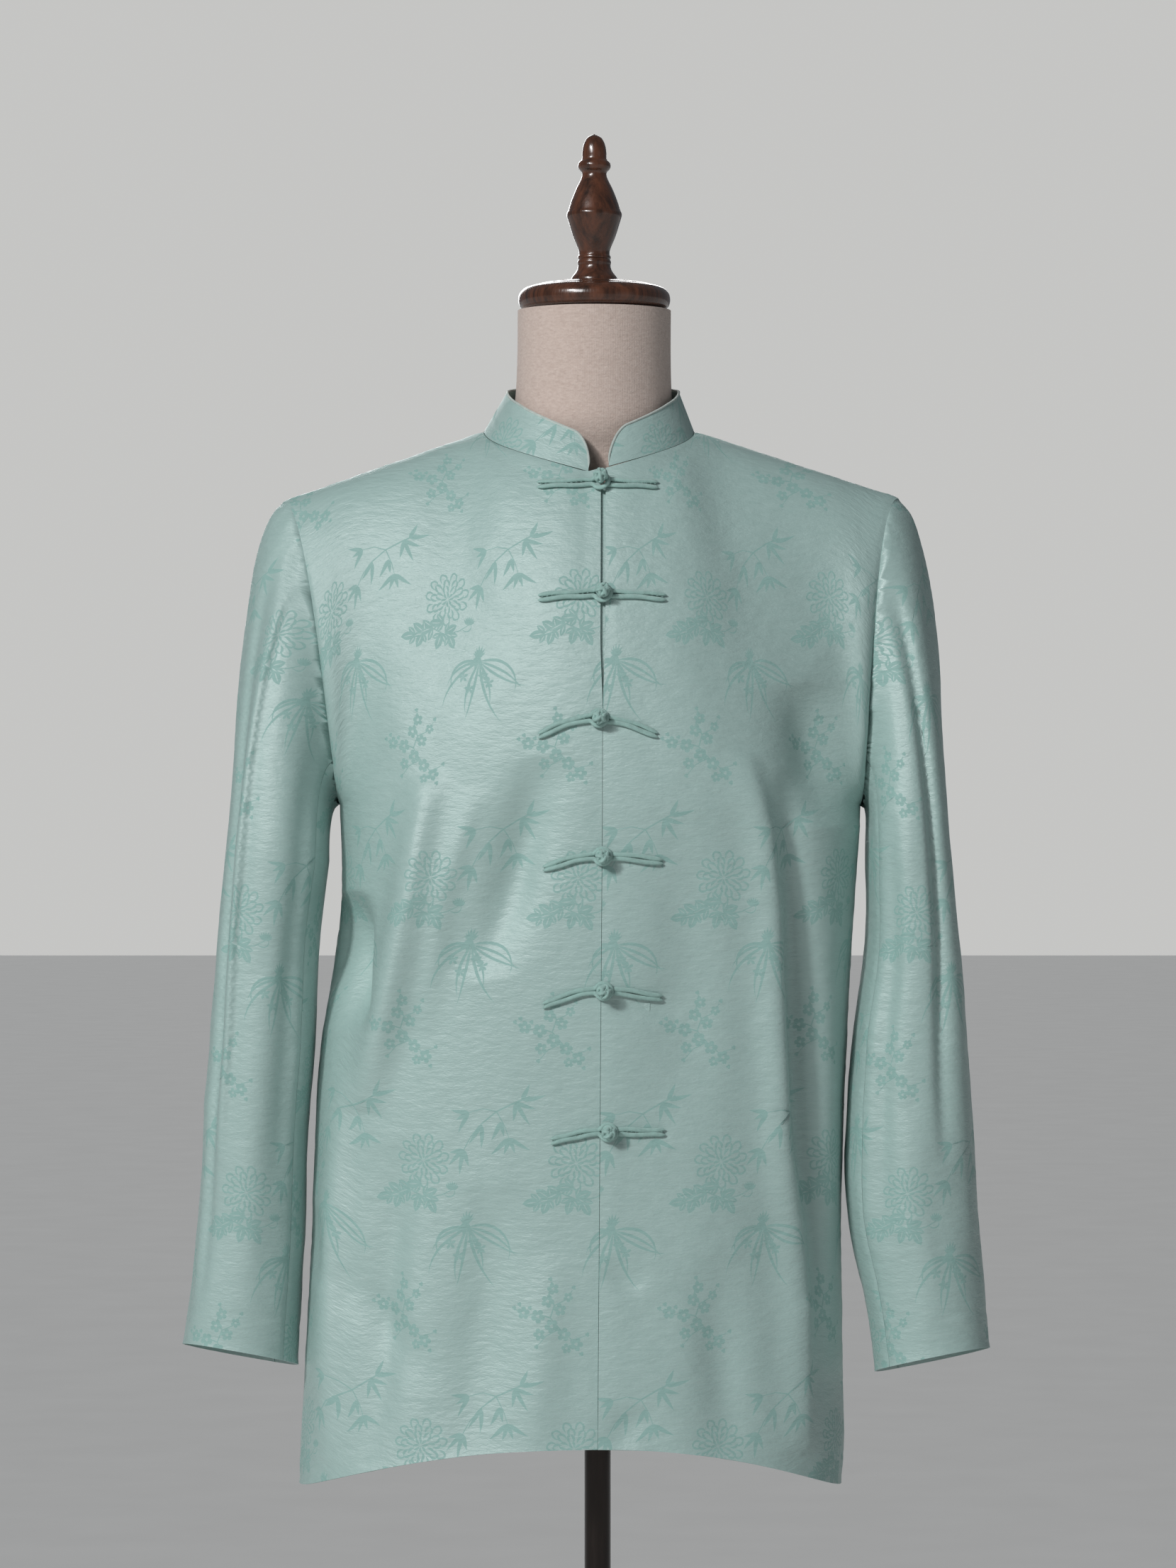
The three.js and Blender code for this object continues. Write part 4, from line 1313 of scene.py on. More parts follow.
    def panel(
        self, shape: JacketShape, side: Side, share: Array, fall: Array, facing: Facing
    ) -> Array:
        """A panel's outer face with its folds, seams and hem.

        Args:
            shape: the cut.
            side: which half.
            share: from the middle (0) to the side (1).
            fall: from the top (0) to the hem (2).
            facing: front or back.

        Returns:
            The points.
        """
        bare = shape.bare_panel(side, share, fall, facing)
        for _ in range(3):
            bare = self.ease(bare, share, fall)
        x, y, z = bare[..., 0], bare[..., 1], bare[..., 2]
        out = unit(stack(x / self.belly[0] ** 2, y / self.belly[1] ** 2, np.zeros_like(x)))
        calm = 1 - ramp(share, 0.93, 1)
        folds = self.front_folds if facing is Facing.FRONT else self.back_folds
        push = sum(fold.push(x, z) for fold in folds) * calm
        lift = out + np.array([0, 0, 1.0]) * (1 - ramp(fall, 0.0, 0.35))[..., None] * 0.8
        seed = 11 if facing is Facing.FRONT else 51
        middle = ramp(share, 0, 0.12) * 0.85 + 0.15 if facing is Facing.FRONT else 1.0
        push = push + self.crumple(x, z, seed) * calm * middle * ramp(fall, 0, 0.2)
        side_gap = (1 - share) * self.panel_width
        push = push + self.seam(side_gap, z + 0.4 * y, seed + 5)
        top_gap = fall * self.panel_top + self.neck_seam_away * (share < shape.neck_share)
        push = push + self.seam(top_gap, x, seed + 6, 0.8)
        bare = bare + unit(lift) * push[..., None]
        hem_gap = (2 - fall) * self.panel_foot
        bare = bare + out * self.hem(hem_gap, x + y, self.hem_depth, seed + 7)[..., None]
        if facing is Facing.FRONT:
            gap = mix(*self.opening_gap, ramp(z, *self.opening_spreads)) / 2
            near = 1 - ramp(share, 0, 0.15)
            bare[..., 0] += side.value * gap * near
            turned_over, sunk = self.opening_edge
            edge = np.exp(-((share * self.panel_width / turned_over) ** 2))
            bare = bare - out * (sunk * edge)[..., None]
            if side is Side.RIGHT:
                bare = bare + out * (self.overlap * near * ramp(-z, -1150, -1000))[..., None]
        return bare

    def sleeve(self, shape: JacketShape, side: Side, angle: Array, fall: Array) -> Array:
        """A sleeve's outer face with its folds, seams and cuff.

        Args:
            shape: the cut.
            side: which sleeve.
            angle: angles round it.
            fall: from the armhole (0) to the cuff (2).

        Returns:
            The points.
        """
        angle, fall = np.broadcast_arrays(np.asarray(angle, float), np.asarray(fall, float))
        bare = shape.bare_sleeve(side, angle, fall)
        table = shape.sleeves[side]
        height = np.clip(bare[..., 2], table.foot, table.top)
        outer = shape.sleeve_ring(side, angle * 0, height)
        inner = shape.sleeve_ring(side, angle * 0 + 180, height)
        axis = (outer + inner) / 2
        out = unit((bare - axis) * np.array([1, 1, 0]))
        calm = ramp(fall, 0, 0.35)
        push = sum(fold.push(angle, bare[..., 2]) for fold in self.sleeve_folds[side]) * calm
        seed = 91 if side is Side.LEFT else 131
        around = angle * self.round_the_sleeve
        forward = self.sleeve_girth * np.sin(np.radians(angle))
        across = self.sleeve_girth * np.cos(np.radians(angle))
        push = push + self.crumple(forward, bare[..., 2], seed) * calm
        push = push + self.crumple(across, bare[..., 2], seed + 3) * 0.6 * calm
        for seam_angle in self.sleeve_seams:
            gap = np.abs((angle - seam_angle + 180) % 360 - 180) * 1.05
            push = push + self.seam(gap, bare[..., 2], seed + 8, 0.9)
        gathered = self.gathers * soft_noise(around, fall * 0, (9, 5), seed + 9)
        gathered = gathered * np.exp(-fall / self.gather_reach) * ramp(fall, 0, 0.05)
        push = push + gathered + self.seam(fall * self.sleeve_top, around, seed + 10, 1.6)
        cuff_gap = (2 - fall) * self.sleeve_length
        cuff = self.hem(cuff_gap, around, self.cuff_depth, seed + 11)
        return bare + out * (push + cuff)[..., None]


def tube(
    line: Array, radius: Array, lift: Array, sides: int, flatness: float = 1.0
) -> tuple[Array, Array]:
    """Rings of points along a line.

    Args:
        line: the points it follows.
        radius: its half-width at each of them.
        lift: the direction that its flatter side faces, at each of them.
        sides: points in a ring.
        flatness: its thickness over its width.

    Returns:
        Points and quads.
    """
    run = unit(np.gradient(line, axis=0))
    aside = unit(np.cross(run, lift))
    up = np.cross(aside, run)
    angle = np.linspace(0, 2 * np.pi, sides, endpoint=False)
    wide, thick = np.cos(angle)[None, :, None], flatness * np.sin(angle)[None, :, None]
    ring = wide * aside[:, None] + thick * up[:, None]
    points = line[:, None] + ring * radius[:, None, None]
    return points.reshape(-1, 3), grid_faces(len(line), sides, closed=True)


def blunt(count: int, radius: float) -> Array:
    """A tube's half-widths, rounded off at both ends."""
    radii = np.full(count, radius)
    for index, share in enumerate((0.05, 0.6, 0.85, 0.96)):
        radii[index] = radii[-1 - index] = radius * share
    return radii


def gather(parts: list[tuple[Array, Array]]) -> tuple[Array, Array]:
    """Several meshes of quads as one."""
    points, faces, count = [], [], 0
    for part, quads in parts:
        points.append(part)
        faces.append(quads + count)
        count += len(part)
    return np.vstack(points), np.vstack(faces)


@dataclass
class FrontFace:
    """Finds places on the two fronts, for what is sewn on them."""

    tables: dict[Side, ClothTable]

    def at(self, x: Array, z: Array, lift: Array, side: Side) -> tuple[Array, Array]:
        """Points over the fronts.

        Args:
            x: places across, as seen from the front.
            z: their heights.
            lift: how far off the cloth.
            side: which front.

        Returns:
            The points and the cloth's outward directions there.
        """
        table = self.tables[side]
        targets = np.stack(np.broadcast_arrays(x, z), axis=-1).astype(float)
        places = table.locate(table.points[..., 0], table.points[..., 2], targets)
        points = table.read(table.points, places)
        normals = unit(table.read(table.normals, places))
        points[:, 0] = targets[:, 0]
        return points + normals * np.broadcast_to(lift, len(points))[:, None], normals


@dataclass(frozen=True)
class Frog:
    """A knot button and loop: where its knot is, and how far each cord reaches and dips."""

    number: int
    x: float
    z: float
    left_reach: float
    left_dip: float
    right_reach: float
    right_dip: float
    cord_radius: float = 1.75
    ring_radius: float = 5.6
    ball_radius: float = 5.4
    ball_cord: float = 1.5
    core_radius: float = 3.9
    stem_radius: float = 2.2
    cord_sides: int = 10
    cord_flatness: float = 0.86

    def strip(
        self, face: FrontFace, side: Side, row: float, start: float, count: int = 26
    ) -> tuple[Array, Array]:
        """The middle line of one of a strip's two cords, from beside the knot to its end.

        Args:
            face: the fronts.
            side: the loop's or the knot's.
            row: -1 for the upper cord, 1 for the lower.
            start: how far from the knot it begins.
            count: points along it.

        Returns:
            The points, and the cloth's directions there.
        """
        left = side is Side.LEFT
        reach, dip = (self.left_reach, self.left_dip) if left else (self.right_reach, self.right_dip)
        along = np.linspace(0, 1, count)
        x = self.x + side.value * mix(start, reach, along)
        wave = 0.35 * np.sin(along * 9 + self.number + row)
        z = self.z - dip * along**1.5 - row * self.cord_radius * 0.98 + wave
        return face.at(x, z, self.cord_radius * self.cord_flatness + 0.5, side)

    def loop(self, face: FrontFace) -> tuple[Array, Array]:
        """The loop's cord: out along one row, round the knot, and back along the other."""
        upper, upper_up = self.strip(face, Side.LEFT, -1, self.ring_radius + 1.5)
        lower, lower_up = self.strip(face, Side.LEFT, 1, self.ring_radius + 1.5)
        middle, out = face.at(np.array([self.x - 0.5]), np.array([self.z]), 2.6, Side.LEFT)
        middle, out = middle[0], out[0]
        right = unit(np.cross(np.array([0, 0, 1.0]), out))
        high = np.cross(out, right)
        angle = np.radians(np.linspace(152, -152, 25))
        over = 1.4 + 1.3 * np.cos(angle)
        round_knot = np.cos(angle)[:, None] * right + np.sin(angle)[:, None] * high
        ring = middle + self.ring_radius * round_knot + over[:, None] * out
        line = np.vstack([upper[::-1], ring, lower])
        up = np.vstack([upper_up[::-1], np.repeat(out[None], len(ring), axis=0), lower_up])
        radii = blunt(len(line), self.cord_radius)
        return tube(line, radii, up, self.cord_sides, self.cord_flatness)

    def stitches(self, face: FrontFace, side: Side, start: float) -> tuple[Array, Array]:
        """The small stitches that hold a strip's two cords together.

        Args:
            face: the fronts.
            side: which strip.
            start: how far from the knot they begin.

        Returns:
            Points and quads.
        """
        line, up = self.strip(face, side, 0, start, 64)
        line = line + up * 0.55
        radii = np.array([0.12, 0.5, 0.5, 0.12])
        parts = []
        for first in range(2, 58, 6):
            stitch = slice(first, first + len(radii))
            parts.append(tube(line[stitch], radii, up[stitch], 6, 0.8))
        return gather(parts)

    def knot(self, face: FrontFace) -> tuple[Array, Array]:
        """The knot's strip, its stem, and the woven ball."""
        parts = []
        for row in (-1, 1):
            line, up = self.strip(face, Side.RIGHT, row, 1.2)
            radii = blunt(len(line), self.cord_radius)
            parts.append(tube(line, radii, up, self.cord_sides, self.cord_flatness))
        centre, out = face.at(np.array([self.x]), np.array([self.z]), 10.2, Side.RIGHT)
        foot, _ = face.at(np.array([self.x]), np.array([self.z]), 1.5, Side.RIGHT)
        stem = mix(foot[0], centre[0], np.linspace(0, 1, 8)[:, None])
        upright = np.repeat([[0, 0, 1.0]], len(stem), axis=0)
        parts.append(tube(stem, np.full(len(stem), self.stem_radius), upright, self.cord_sides))
        axis = unit(out[0] + np.array([0.35, 0, 0.55]))
        first = unit(np.cross(axis, np.array([0, 0, 1.0])))
        second = np.cross(axis, first)
        turn = np.linspace(0, 2 * np.pi, 150)
        tall = 1.02 * np.cos(5 * turn)
        around = 3 * turn + 0.5 * self.number
        reach = self.ball_radius - 1.35 + 0.5 * np.sin(7.5 * turn) * np.cos(tall)
        level = np.cos(around)[:, None] * first + np.sin(around)[:, None] * second
        spot = np.cos(tall)[:, None] * level + np.sin(tall)[:, None] * axis
        winding = centre[0] + spot * reach[:, None]
        parts.append(tube(winding, np.full(len(turn), self.ball_cord), spot, 8))
        low = np.linspace(0.02, np.pi - 0.02, 9)
        core = centre[0] + np.cos(low)[:, None] * axis * self.core_radius
        core_lift = np.repeat([first], len(low), axis=0)
        parts.append(tube(core, self.core_radius * np.sin(low), core_lift, 12))
        return gather(parts)

    def build(
        self, face: FrontFace, finish: bpy.types.Material, thread: bpy.types.Material
    ) -> None:
        """The loop's cord and the knot's cord, with their stitches."""
        for kind, side, maker, start in (
            ("loop", Side.LEFT, self.loop, 9.0),
            ("knot", Side.RIGHT, self.knot, 8.5),
        ):
            points, faces = maker(face)
            piece = make_mesh(f"frog_{self.number}_{kind}_cord", points, [faces])
            piece.data.materials.append(finish)
            points, faces = self.stitches(face, side, start)
            sewn = make_mesh(f"frog_{self.number}_{kind}_stitches", points, [faces])
            # The stitches' darker thread is painted shade for the dimples they pull into the cords.
            sewn.data.materials.append(thread)
            for made in (piece, sewn):
                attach(made, "root")
            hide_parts(f"frog_{self.number}_{kind}")
        LOG.info("frog %d: cords, stitches and knot", self.number)


# ---------------------------------------------------------------- form, wood and stand


@dataclass
class Turned:
    """A piece turned on a lathe, from its profile of (radius, height) pairs."""

    name: str
    node: str
    slot: str
    profile: tuple[tuple[float, float], ...]
    foot: float
    x: float = 0.0
    segments: int = 96
    rounding: int = 2
    cut_share: float = 0.22
    sharp_angle: float = 48

    def smooth_profile(self) -> Array:
        """The profile with its corners eased, as a turner's gouge leaves them."""
        line = np.array(self.profile, float)
        for _ in range(self.rounding):
            start, end = line[:-1], line[1:]
            near, far = mix(start, end, self.cut_share), mix(start, end, 1 - self.cut_share)
            eased = np.stack([near, far], axis=1).reshape(-1, 2)
            line = np.vstack([line[:1], eased[1:-1], line[-1:]])
        return line

    def build(self, finish: bpy.types.Material) -> bpy.types.Object:
        """The turned mesh, which stands for its node."""
        line = self.smooth_profile()
        angle = np.linspace(0, 2 * np.pi, self.segments, endpoint=False)
        radius = np.maximum(line[:, 0], 0.01)[:, None]
        z = self.foot + line[:, 1][:, None]
        points = stack(self.x + radius * np.cos(angle), radius * np.sin(angle), z)
        faces = grid_faces(len(line), self.segments, closed=True)
        piece = make_mesh(self.name, points.reshape(-1, 3), [faces])
        piece.data.materials.append(finish)
        piece.data.set_sharp_from_angle(angle=math.radians(self.sharp_angle))
        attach(piece, "root")
        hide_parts(self.node)
        LOG.info("%s: turned, %d rings", self.name, len(line))
        return piece


@dataclass
class DressForm:
    """The linen-covered form, from its neck down to its flat foot."""

    table: Table = field(
        default_factory=lambda: Table(
            "z x half front back power",
            [
                (1495.5, -2.5, 57.3, 57, 57, 2),
                (1460, -2.7, 57.4, 57, 56, 2),
                (1432, -3, 58.4, 57.6, 55, 2),
                (1412, -3.5, 60.6, 58.6, 55, 2),
                (1400, -4, 64, 56, 51, 2),
                (1388, -5, 82, 52, 46, 2),
                (1370, -4, 124, 52, 47, 2),
                (1350, -2, 149, 59, 56, 2),
                (1320, 0, 161, 73, 65, 2.1),
                (1280, 0, 162, 87, 76, 2.1),
                (1200, 0, 156, 98, 84, 2.2),
                (1100, 0, 138, 91, 76, 2.2),
                (1010, 0, 126, 84, 72, 2.2),
                (900, -5, 141, 90, 77, 2.2),
                (800, -8, 150, 92, 79, 2.2),
                (722, -8, 145, 88, 76, 2.2),
                (706, -8, 134, 78, 67, 2.2),
            ],
        )
    )
    segments: int = 96
    end_share: float = 0.02
    sharp_angle: float = 50

    def build(self, finish: bpy.types.Material) -> bpy.types.Object:
        """The form's mesh, closed at its neck and foot."""
        neck, shoulders, trunk = (1492, 1420, 20), (1414, 1340, 30), (1334, 722, 70)
        spans = [np.linspace(*stretch) for stretch in (neck, shoulders, trunk)]
        heights = np.concatenate([[1495.5, 1495.0], *spans, [716, 711, 706.4, 706]])
        angle = np.linspace(0, 2 * np.pi, self.segments, endpoint=False)
        z, turned = np.meshgrid(heights, angle, indexing="ij")
        exponent = 2 / self.table.read("power", z)
        front, back = self.table.read("front", z), self.table.read("back", z)
        depth = np.where(np.sin(turned) < 0, front, back)
        across = self.table.read("half", z) * signed_power(np.cos(turned), exponent)
        x = self.table.read("x", z) + across
        points = stack(x, depth * signed_power(np.sin(turned), exponent), z)
        for end in (0, -1):
            points[end] = mix(points[end].mean(axis=0), points[end], self.end_share)
        faces = grid_faces(len(heights), self.segments, closed=True)
        piece = make_mesh("dress_form_linen", points.reshape(-1, 3), [faces])
        piece.data.materials.append(finish)
        piece.data.set_sharp_from_angle(angle=math.radians(self.sharp_angle))
        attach(piece, "root")
        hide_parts("dress_form")
        LOG.info("dress form: %d rings", len(heights))
        return piece


# ---------------------------------------------------------------- finishes


class Nodes:
    """A material's node tree, with short ways to add to it."""

    def __init__(self, name: str) -> None:
        """Starts a material with a principled shader."""
        self.material = bpy.data.materials.new(name)
        self.material.use_nodes = True
        self.tree = self.material.node_tree
        self.shader = self.tree.nodes["Principled BSDF"]

    def add(self, kind: str, **settings: object) -> bpy.types.Node:
        """A node with its settings, where inputs are given by name."""
        node = self.tree.nodes.new(kind)
        for key, value in settings.items():
            if hasattr(node, key):
                setattr(node, key, value)
            else:
                node.inputs[key.replace("_", " ")].default_value = value
        return node

    def link(self, start: bpy.types.NodeSocket, end: bpy.types.NodeSocket) -> None:
        """Joins two sockets."""
        self.tree.links.new(start, end)

    def place(self, source: str, scale: tuple[float, float, float]) -> bpy.types.NodeSocket:
        """The cloth's flat coordinates (UV) or the object's (Object), scaled along each axis."""
        where = self.add("ShaderNodeTexCoord")
        mapping = self.add("ShaderNodeMapping", Scale=scale)
        self.link(where.outputs[source], mapping.inputs["Vector"])
        return mapping.outputs["Vector"]

    def noise(
        self, place: bpy.types.NodeSocket, detail: float = 2.0, roughness: float = 0.5
    ) -> bpy.types.NodeSocket:
        """Noise of about one wave a unit at the given place."""
        node = self.add("ShaderNodeTexNoise", Scale=1.0, Detail=detail, Roughness=roughness)
        self.link(place, node.inputs["Vector"])
        return node.outputs["Fac"]

    def blend(
        self, share: bpy.types.NodeSocket, start: tuple, end: tuple, low: float, high: float
    ) -> None:
        """Colours the shader between two colours, as a value goes from low to high.

        Args:
            share: the value.
            start: the colour at low.
            end: the colour at high.
            low: where the first colour ends.
            high: where the second begins.
        """
        colours = self.add("ShaderNodeValToRGB")
        for stop, position, colour in zip(colours.color_ramp.elements, (low, high), (start, end)):
            stop.position, stop.color = position, (*colour, 1)
        self.link(share, colours.inputs["Fac"])
        self.link(colours.outputs["Color"], self.shader.inputs["Base Color"])

    def bump(self, heights: list[tuple[bpy.types.NodeSocket, float]], strength: float = 1.0) -> None:
        """Roughens the surface by several heights, each with its depth in metres."""
        before = None
        for height, depth in heights:
            node = self.add("ShaderNodeBump", Strength=strength, Distance=depth)
            self.link(height, node.inputs["Height"])
            if before is not None:
                self.link(before, node.inputs["Normal"])
            before = node.outputs["Normal"]
        self.link(before, self.shader.inputs["Normal"])

    def roughen(self, share: bpy.types.NodeSocket, low: float, high: float) -> None:
        """Varies the roughness with a value."""
        spread = self.add("ShaderNodeMapRange", To_Min=low, To_Max=high, From_Min=0.3, From_Max=0.7)
        self.link(share, spread.inputs["Value"])
        self.link(spread.outputs["Result"], self.shader.inputs["Roughness"])

    def wave(self, place: bpy.types.NodeSocket, direction: str) -> bpy.types.NodeSocket:
        """Even bands across a direction, for threads."""
        node = self.add("ShaderNodeTexWave", bands_direction=direction, Scale=1.0, Distortion=0.6)
        self.link(place, node.inputs["Vector"])
        return node.outputs["Fac"]

    def settings(self, **values: object) -> None:
        """Sets the shader's own sockets."""
        for key, value in values.items():
            self.shader.inputs[key.replace("_", " ")].default_value = value


@dataclass(frozen=True)
class Silk:
    """Jacquard silk: a satin ground, and a duller figure, both finely crinkled across."""

    name: str
    light: tuple[float, float, float]
    deep: tuple[float, float, float]
    roughness: tuple[float, float]
    sheen: float
    crinkle: float
    gloss: float = 0.5
    sheen_tint: tuple[float, float, float] = (0.82, 1.0, 0.96)

    def make(self) -> bpy.types.Material:
        """The material."""
        nodes = Nodes(self.name)
        crepe = nodes.noise(nodes.place("UV", (260, 800, 1)), 3.0, 0.62)
        creases = nodes.noise(nodes.place("UV", (85, 230, 1)), 4.0, 0.62)
        threads = nodes.wave(nodes.place("UV", (700, 700, 1)), "X")
        tone = nodes.noise(nodes.place("UV", (60, 190, 1)), 6.0, 0.72)
        nodes.blend(tone, self.deep, self.light, 0.3, 0.72)
        nodes.roughen(creases, *self.roughness)
        nodes.bump([(creases, 0.0008), (crepe, self.crinkle), (threads, 0.00003)])
        nodes.settings(Sheen_Weight=self.sheen, Sheen_Roughness=0.35, Sheen_Tint=(*self.sheen_tint, 1))
        nodes.settings(Specular_IOR_Level=self.gloss)
        return nodes.material


@dataclass(frozen=True)
class Thread:
    """Bias-cut cord and sewing thread, with a fine twill."""

    name: str
    colour: tuple[float, float, float]
    scale: float = 900.0

    def make(self) -> bpy.types.Material:
        """The material."""
        nodes = Nodes(self.name)
        twill = nodes.wave(nodes.place("Object", (self.scale, self.scale, self.scale * 1.2)), "DIAGONAL")
        tone = nodes.noise(nodes.place("Object", (240, 240, 240)), 3.0)
        nodes.blend(tone, tuple(0.84 * c for c in self.colour), self.colour, 0.3, 0.7)
        nodes.roughen(tone, 0.42, 0.56)
        nodes.bump([(tone, 0.0004), (twill, 0.00012)])
        nodes.settings(Sheen_Weight=0.25, Sheen_Roughness=0.4)
        return nodes.material


@dataclass(frozen=True)
class Linen:
    """The form's plain cover, closely woven."""

    name: str = "linen_cover"

    def make(self) -> bpy.types.Material:
        """The material."""
        nodes = Nodes(self.name)
        warp = nodes.wave(nodes.place("Object", (420, 420, 0.001)), "X")
        weft = nodes.wave(nodes.place("Object", (0.001, 0.001, 520)), "Z")
        slub = nodes.noise(nodes.place("Object", (260, 260, 620)), 4.0, 0.7)
        nodes.blend(slub, (0.60, 0.475, 0.415), (0.74, 0.615, 0.55), 0.3, 0.72)
        nodes.bump([(warp, 0.00008), (weft, 0.00008), (slub, 0.0005)])
        nodes.settings(Roughness=0.88, Sheen_Weight=0.2, Sheen_Roughness=0.6, Specular_IOR_Level=0.25)
        return nodes.material


@dataclass(frozen=True)
class Walnut:
    """Stained and polished wood, with its grain up the piece."""

    name: str = "polished_walnut"

    def make(self) -> bpy.types.Material:
        """The material."""
        nodes = Nodes(self.name)
        grain = nodes.noise(nodes.place("Object", (120, 240, 16)), 6.0, 0.65)
        pores = nodes.noise(nodes.place("Object", (900, 900, 60)), 2.0)
        nodes.blend(grain, (0.022, 0.0085, 0.0042), (0.135, 0.044, 0.019), 0.32, 0.68)
        nodes.roughen(grain, 0.2, 0.34)
        nodes.bump([(grain, 0.0002), (pores, 0.0001)])
        nodes.settings(Coat_Weight=0.7, Coat_Roughness=0.12)
        return nodes.material


@dataclass(frozen=True)
class StandMetal:
    """Dark lacquered metal with faint rubbing."""

    name: str = "lacquered_metal"

    def make(self) -> bpy.types.Material:
        """The material."""
        nodes = Nodes(self.name)
        rub = nodes.noise(nodes.place("Object", (60, 60, 8)), 5.0, 0.6)
        nodes.blend(rub, (0.012, 0.0085, 0.007), (0.034, 0.024, 0.02), 0.35, 0.7)
        nodes.roughen(rub, 0.2, 0.36)
        nodes.bump([(rub, 0.0001)])
        nodes.settings(Metallic=0.75, Coat_Weight=0.4, Coat_Roughness=0.1)
        return nodes.material


@dataclass(frozen=True)
class StudioPaper:
    """The pale matt paper of the studio's floor."""

    name: str = "studio_paper"

    def make(self) -> bpy.types.Material:
        """The material."""
        nodes = Nodes(self.name)
        fibre = nodes.noise(nodes.place("Object", (6, 6, 6)), 5.0)
        nodes.blend(fibre, (0.84, 0.83, 0.81), (0.87, 0.86, 0.84), 0.3, 0.7)
        nodes.settings(Roughness=0.95, Specular_IOR_Level=0.1)
        return nodes.material


# ---------------------------------------------------------------- the jacket


@dataclass
class Jacket:
    """All of the jacket's sewn pieces."""

    shape: JacketShape
    tailoring: Tailoring
    silk: list[bpy.types.Material]
    cord: bpy.types.Material
    thread: bpy.types.Material
    piping: bpy.types.Material
    fronts: dict[Side, ClothTable] = field(default_factory=dict)
    pattern_foot: float = -30.0
    pattern_starts: dict[str, float] = field(
        default_factory=lambda: {
            "front_left": -77.0, "front_right": 29.0, "back": -30.0,
            "sleeve_left": 18.0, "sleeve_right": -40.0,
        }
    )
    sleeve_pattern_rise: dict[str, float] = field(default_factory=lambda: {"top": 15, "under": 110})
    flat_margin: float = 1.0
    seam_angle_gap: float = 0.15
    underlay_depth: float = 3.3
    piping_radius: float = 0.95
    piping_inset: float = 0.65

    def falls(self) -> Array:
        """The rows of a body panel, closer at its seams."""
        return spaced((0, 0.04, 8), (0.04, 1, 96), (1, 2, 190))

    def shares(self) -> Array:
        """The columns of a body panel, closer at its seams."""
        return spaced((0, 0.06, 9), (0.06, 0.95, 84), (0.95, 1, 9))

    def underarm_row(self, falls: Array) -> int:
        """The row of a panel or sleeve that lies at the underarm line."""
        return int(np.argmin(np.abs(falls - 1)))

    def dress(
        self, piece: SilkPiece
    ) -> bpy.types.Object:
        """Args:
            piece: what to build.

        Returns:
            The piece.
        """
        made = piece.build(self.silk)
        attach(made, "root")
        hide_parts(*piece.nodes)
        return made

    def build_fronts(self) -> None:
        """Both fronts."""
        share, fall = np.meshgrid(self.shares(), self.falls())
        for side in Side:
            points = self.tailoring.panel(self.shape, side, share, fall, Facing.FRONT)
            table = ClothTable(points, side.value, self.underarm_row(self.falls()), 0)
            self.fronts[side] = table
            node = f"front_{side.name.lower()}"
            phase = (self.pattern_starts[node], self.pattern_foot)
            self.dress(SilkPiece(f"{node}_silk", (node,), table, phase))

    def build_back(self) -> None:
        """The back, in one piece."""
        shares = self.shares()
        columns = np.concatenate([shares[::-1], -shares[1:]])
        share, fall = np.meshgrid(columns, self.falls())
        right = self.tailoring.panel(self.shape, Side.RIGHT, np.abs(share), fall, Facing.BACK)
        left = self.tailoring.panel(self.shape, Side.LEFT, np.abs(share), fall, Facing.BACK)
        points = np.where((share >= 0)[..., None], right, left)
        table = ClothTable(points, 1, self.underarm_row(self.falls()), len(shares) - 1)
        phase = (self.pattern_starts["back"], self.pattern_foot)
        self.dress(SilkPiece("back_silk", ("back",), table, phase))

    def build_sleeves(self) -> None:
        """Each sleeve's upper and under piece."""
        falls = spaced((0, 0.06, 8), (0.06, 1, 70), (1, 2, 150))
        gap = self.seam_angle_gap
        for side in Side:
            for kind, start, end, count in (("top", -120, 140, 130), ("under", 140, 240, 60)):
                angle, fall = np.meshgrid(np.linspace(start + gap, end - gap, count), falls)
                points = self.tailoring.sleeve(self.shape, side, angle, fall)
                zero_column = int(np.argmin(np.abs(angle[0]))) if kind == "top" else count // 2
                table = ClothTable(points, -side.value, self.underarm_row(falls), zero_column)
                name = side.name.lower()
                node = f"sleeve_{kind}_{name}"
                foot = self.pattern_foot + self.sleeve_pattern_rise[kind]
                phase = (self.pattern_starts[f"sleeve_{name}"], foot)
                piece = SilkPiece(f"{node}_silk", (node,), table, phase)
                self.dress(piece)

    def build_collar(self) -> None:
        """The stand collar and the piping on its edge."""
        first, last = self.shape.collar_ends
        corner, closer = 12, 1.8
        angles = np.concatenate([
            first + corner * np.linspace(0, 1, 24)[:-1] ** closer,
            np.linspace(first + corner, last - corner, 230)[:-1],
            last - corner * np.linspace(1, 0, 24) ** closer,
        ])
        angle, height = np.meshgrid(angles, np.linspace(1, 0, 16))
        points = self.shape.collar(angle, height)
        table = ClothTable(points, -1, len(points) - 1, int(np.argmin(np.abs(angles - 180))))
        piece = SilkPiece("collar_silk", ("collar",), table, (-12.0, 26.0), spacing=2.4)
        self.dress(piece)
        line = self.shape.collar(angles, np.ones_like(angles), 0.55)
        outward = unit(line - np.array([-5.0, 0, 0])) * np.array([1, 1, 0])
        inner = line - outward * self.piping_inset
        upright = np.repeat([[0, 0, 1.0]], len(inner), axis=0)
        points, faces = tube(inner, blunt(len(inner), self.piping_radius), upright, 8)
        edging = make_mesh("collar_edging", points, [faces])
        edging.data.materials.append(self.piping)
        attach(edging, "root")
        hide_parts("collar_piping")
        LOG.info("collar and its piping")

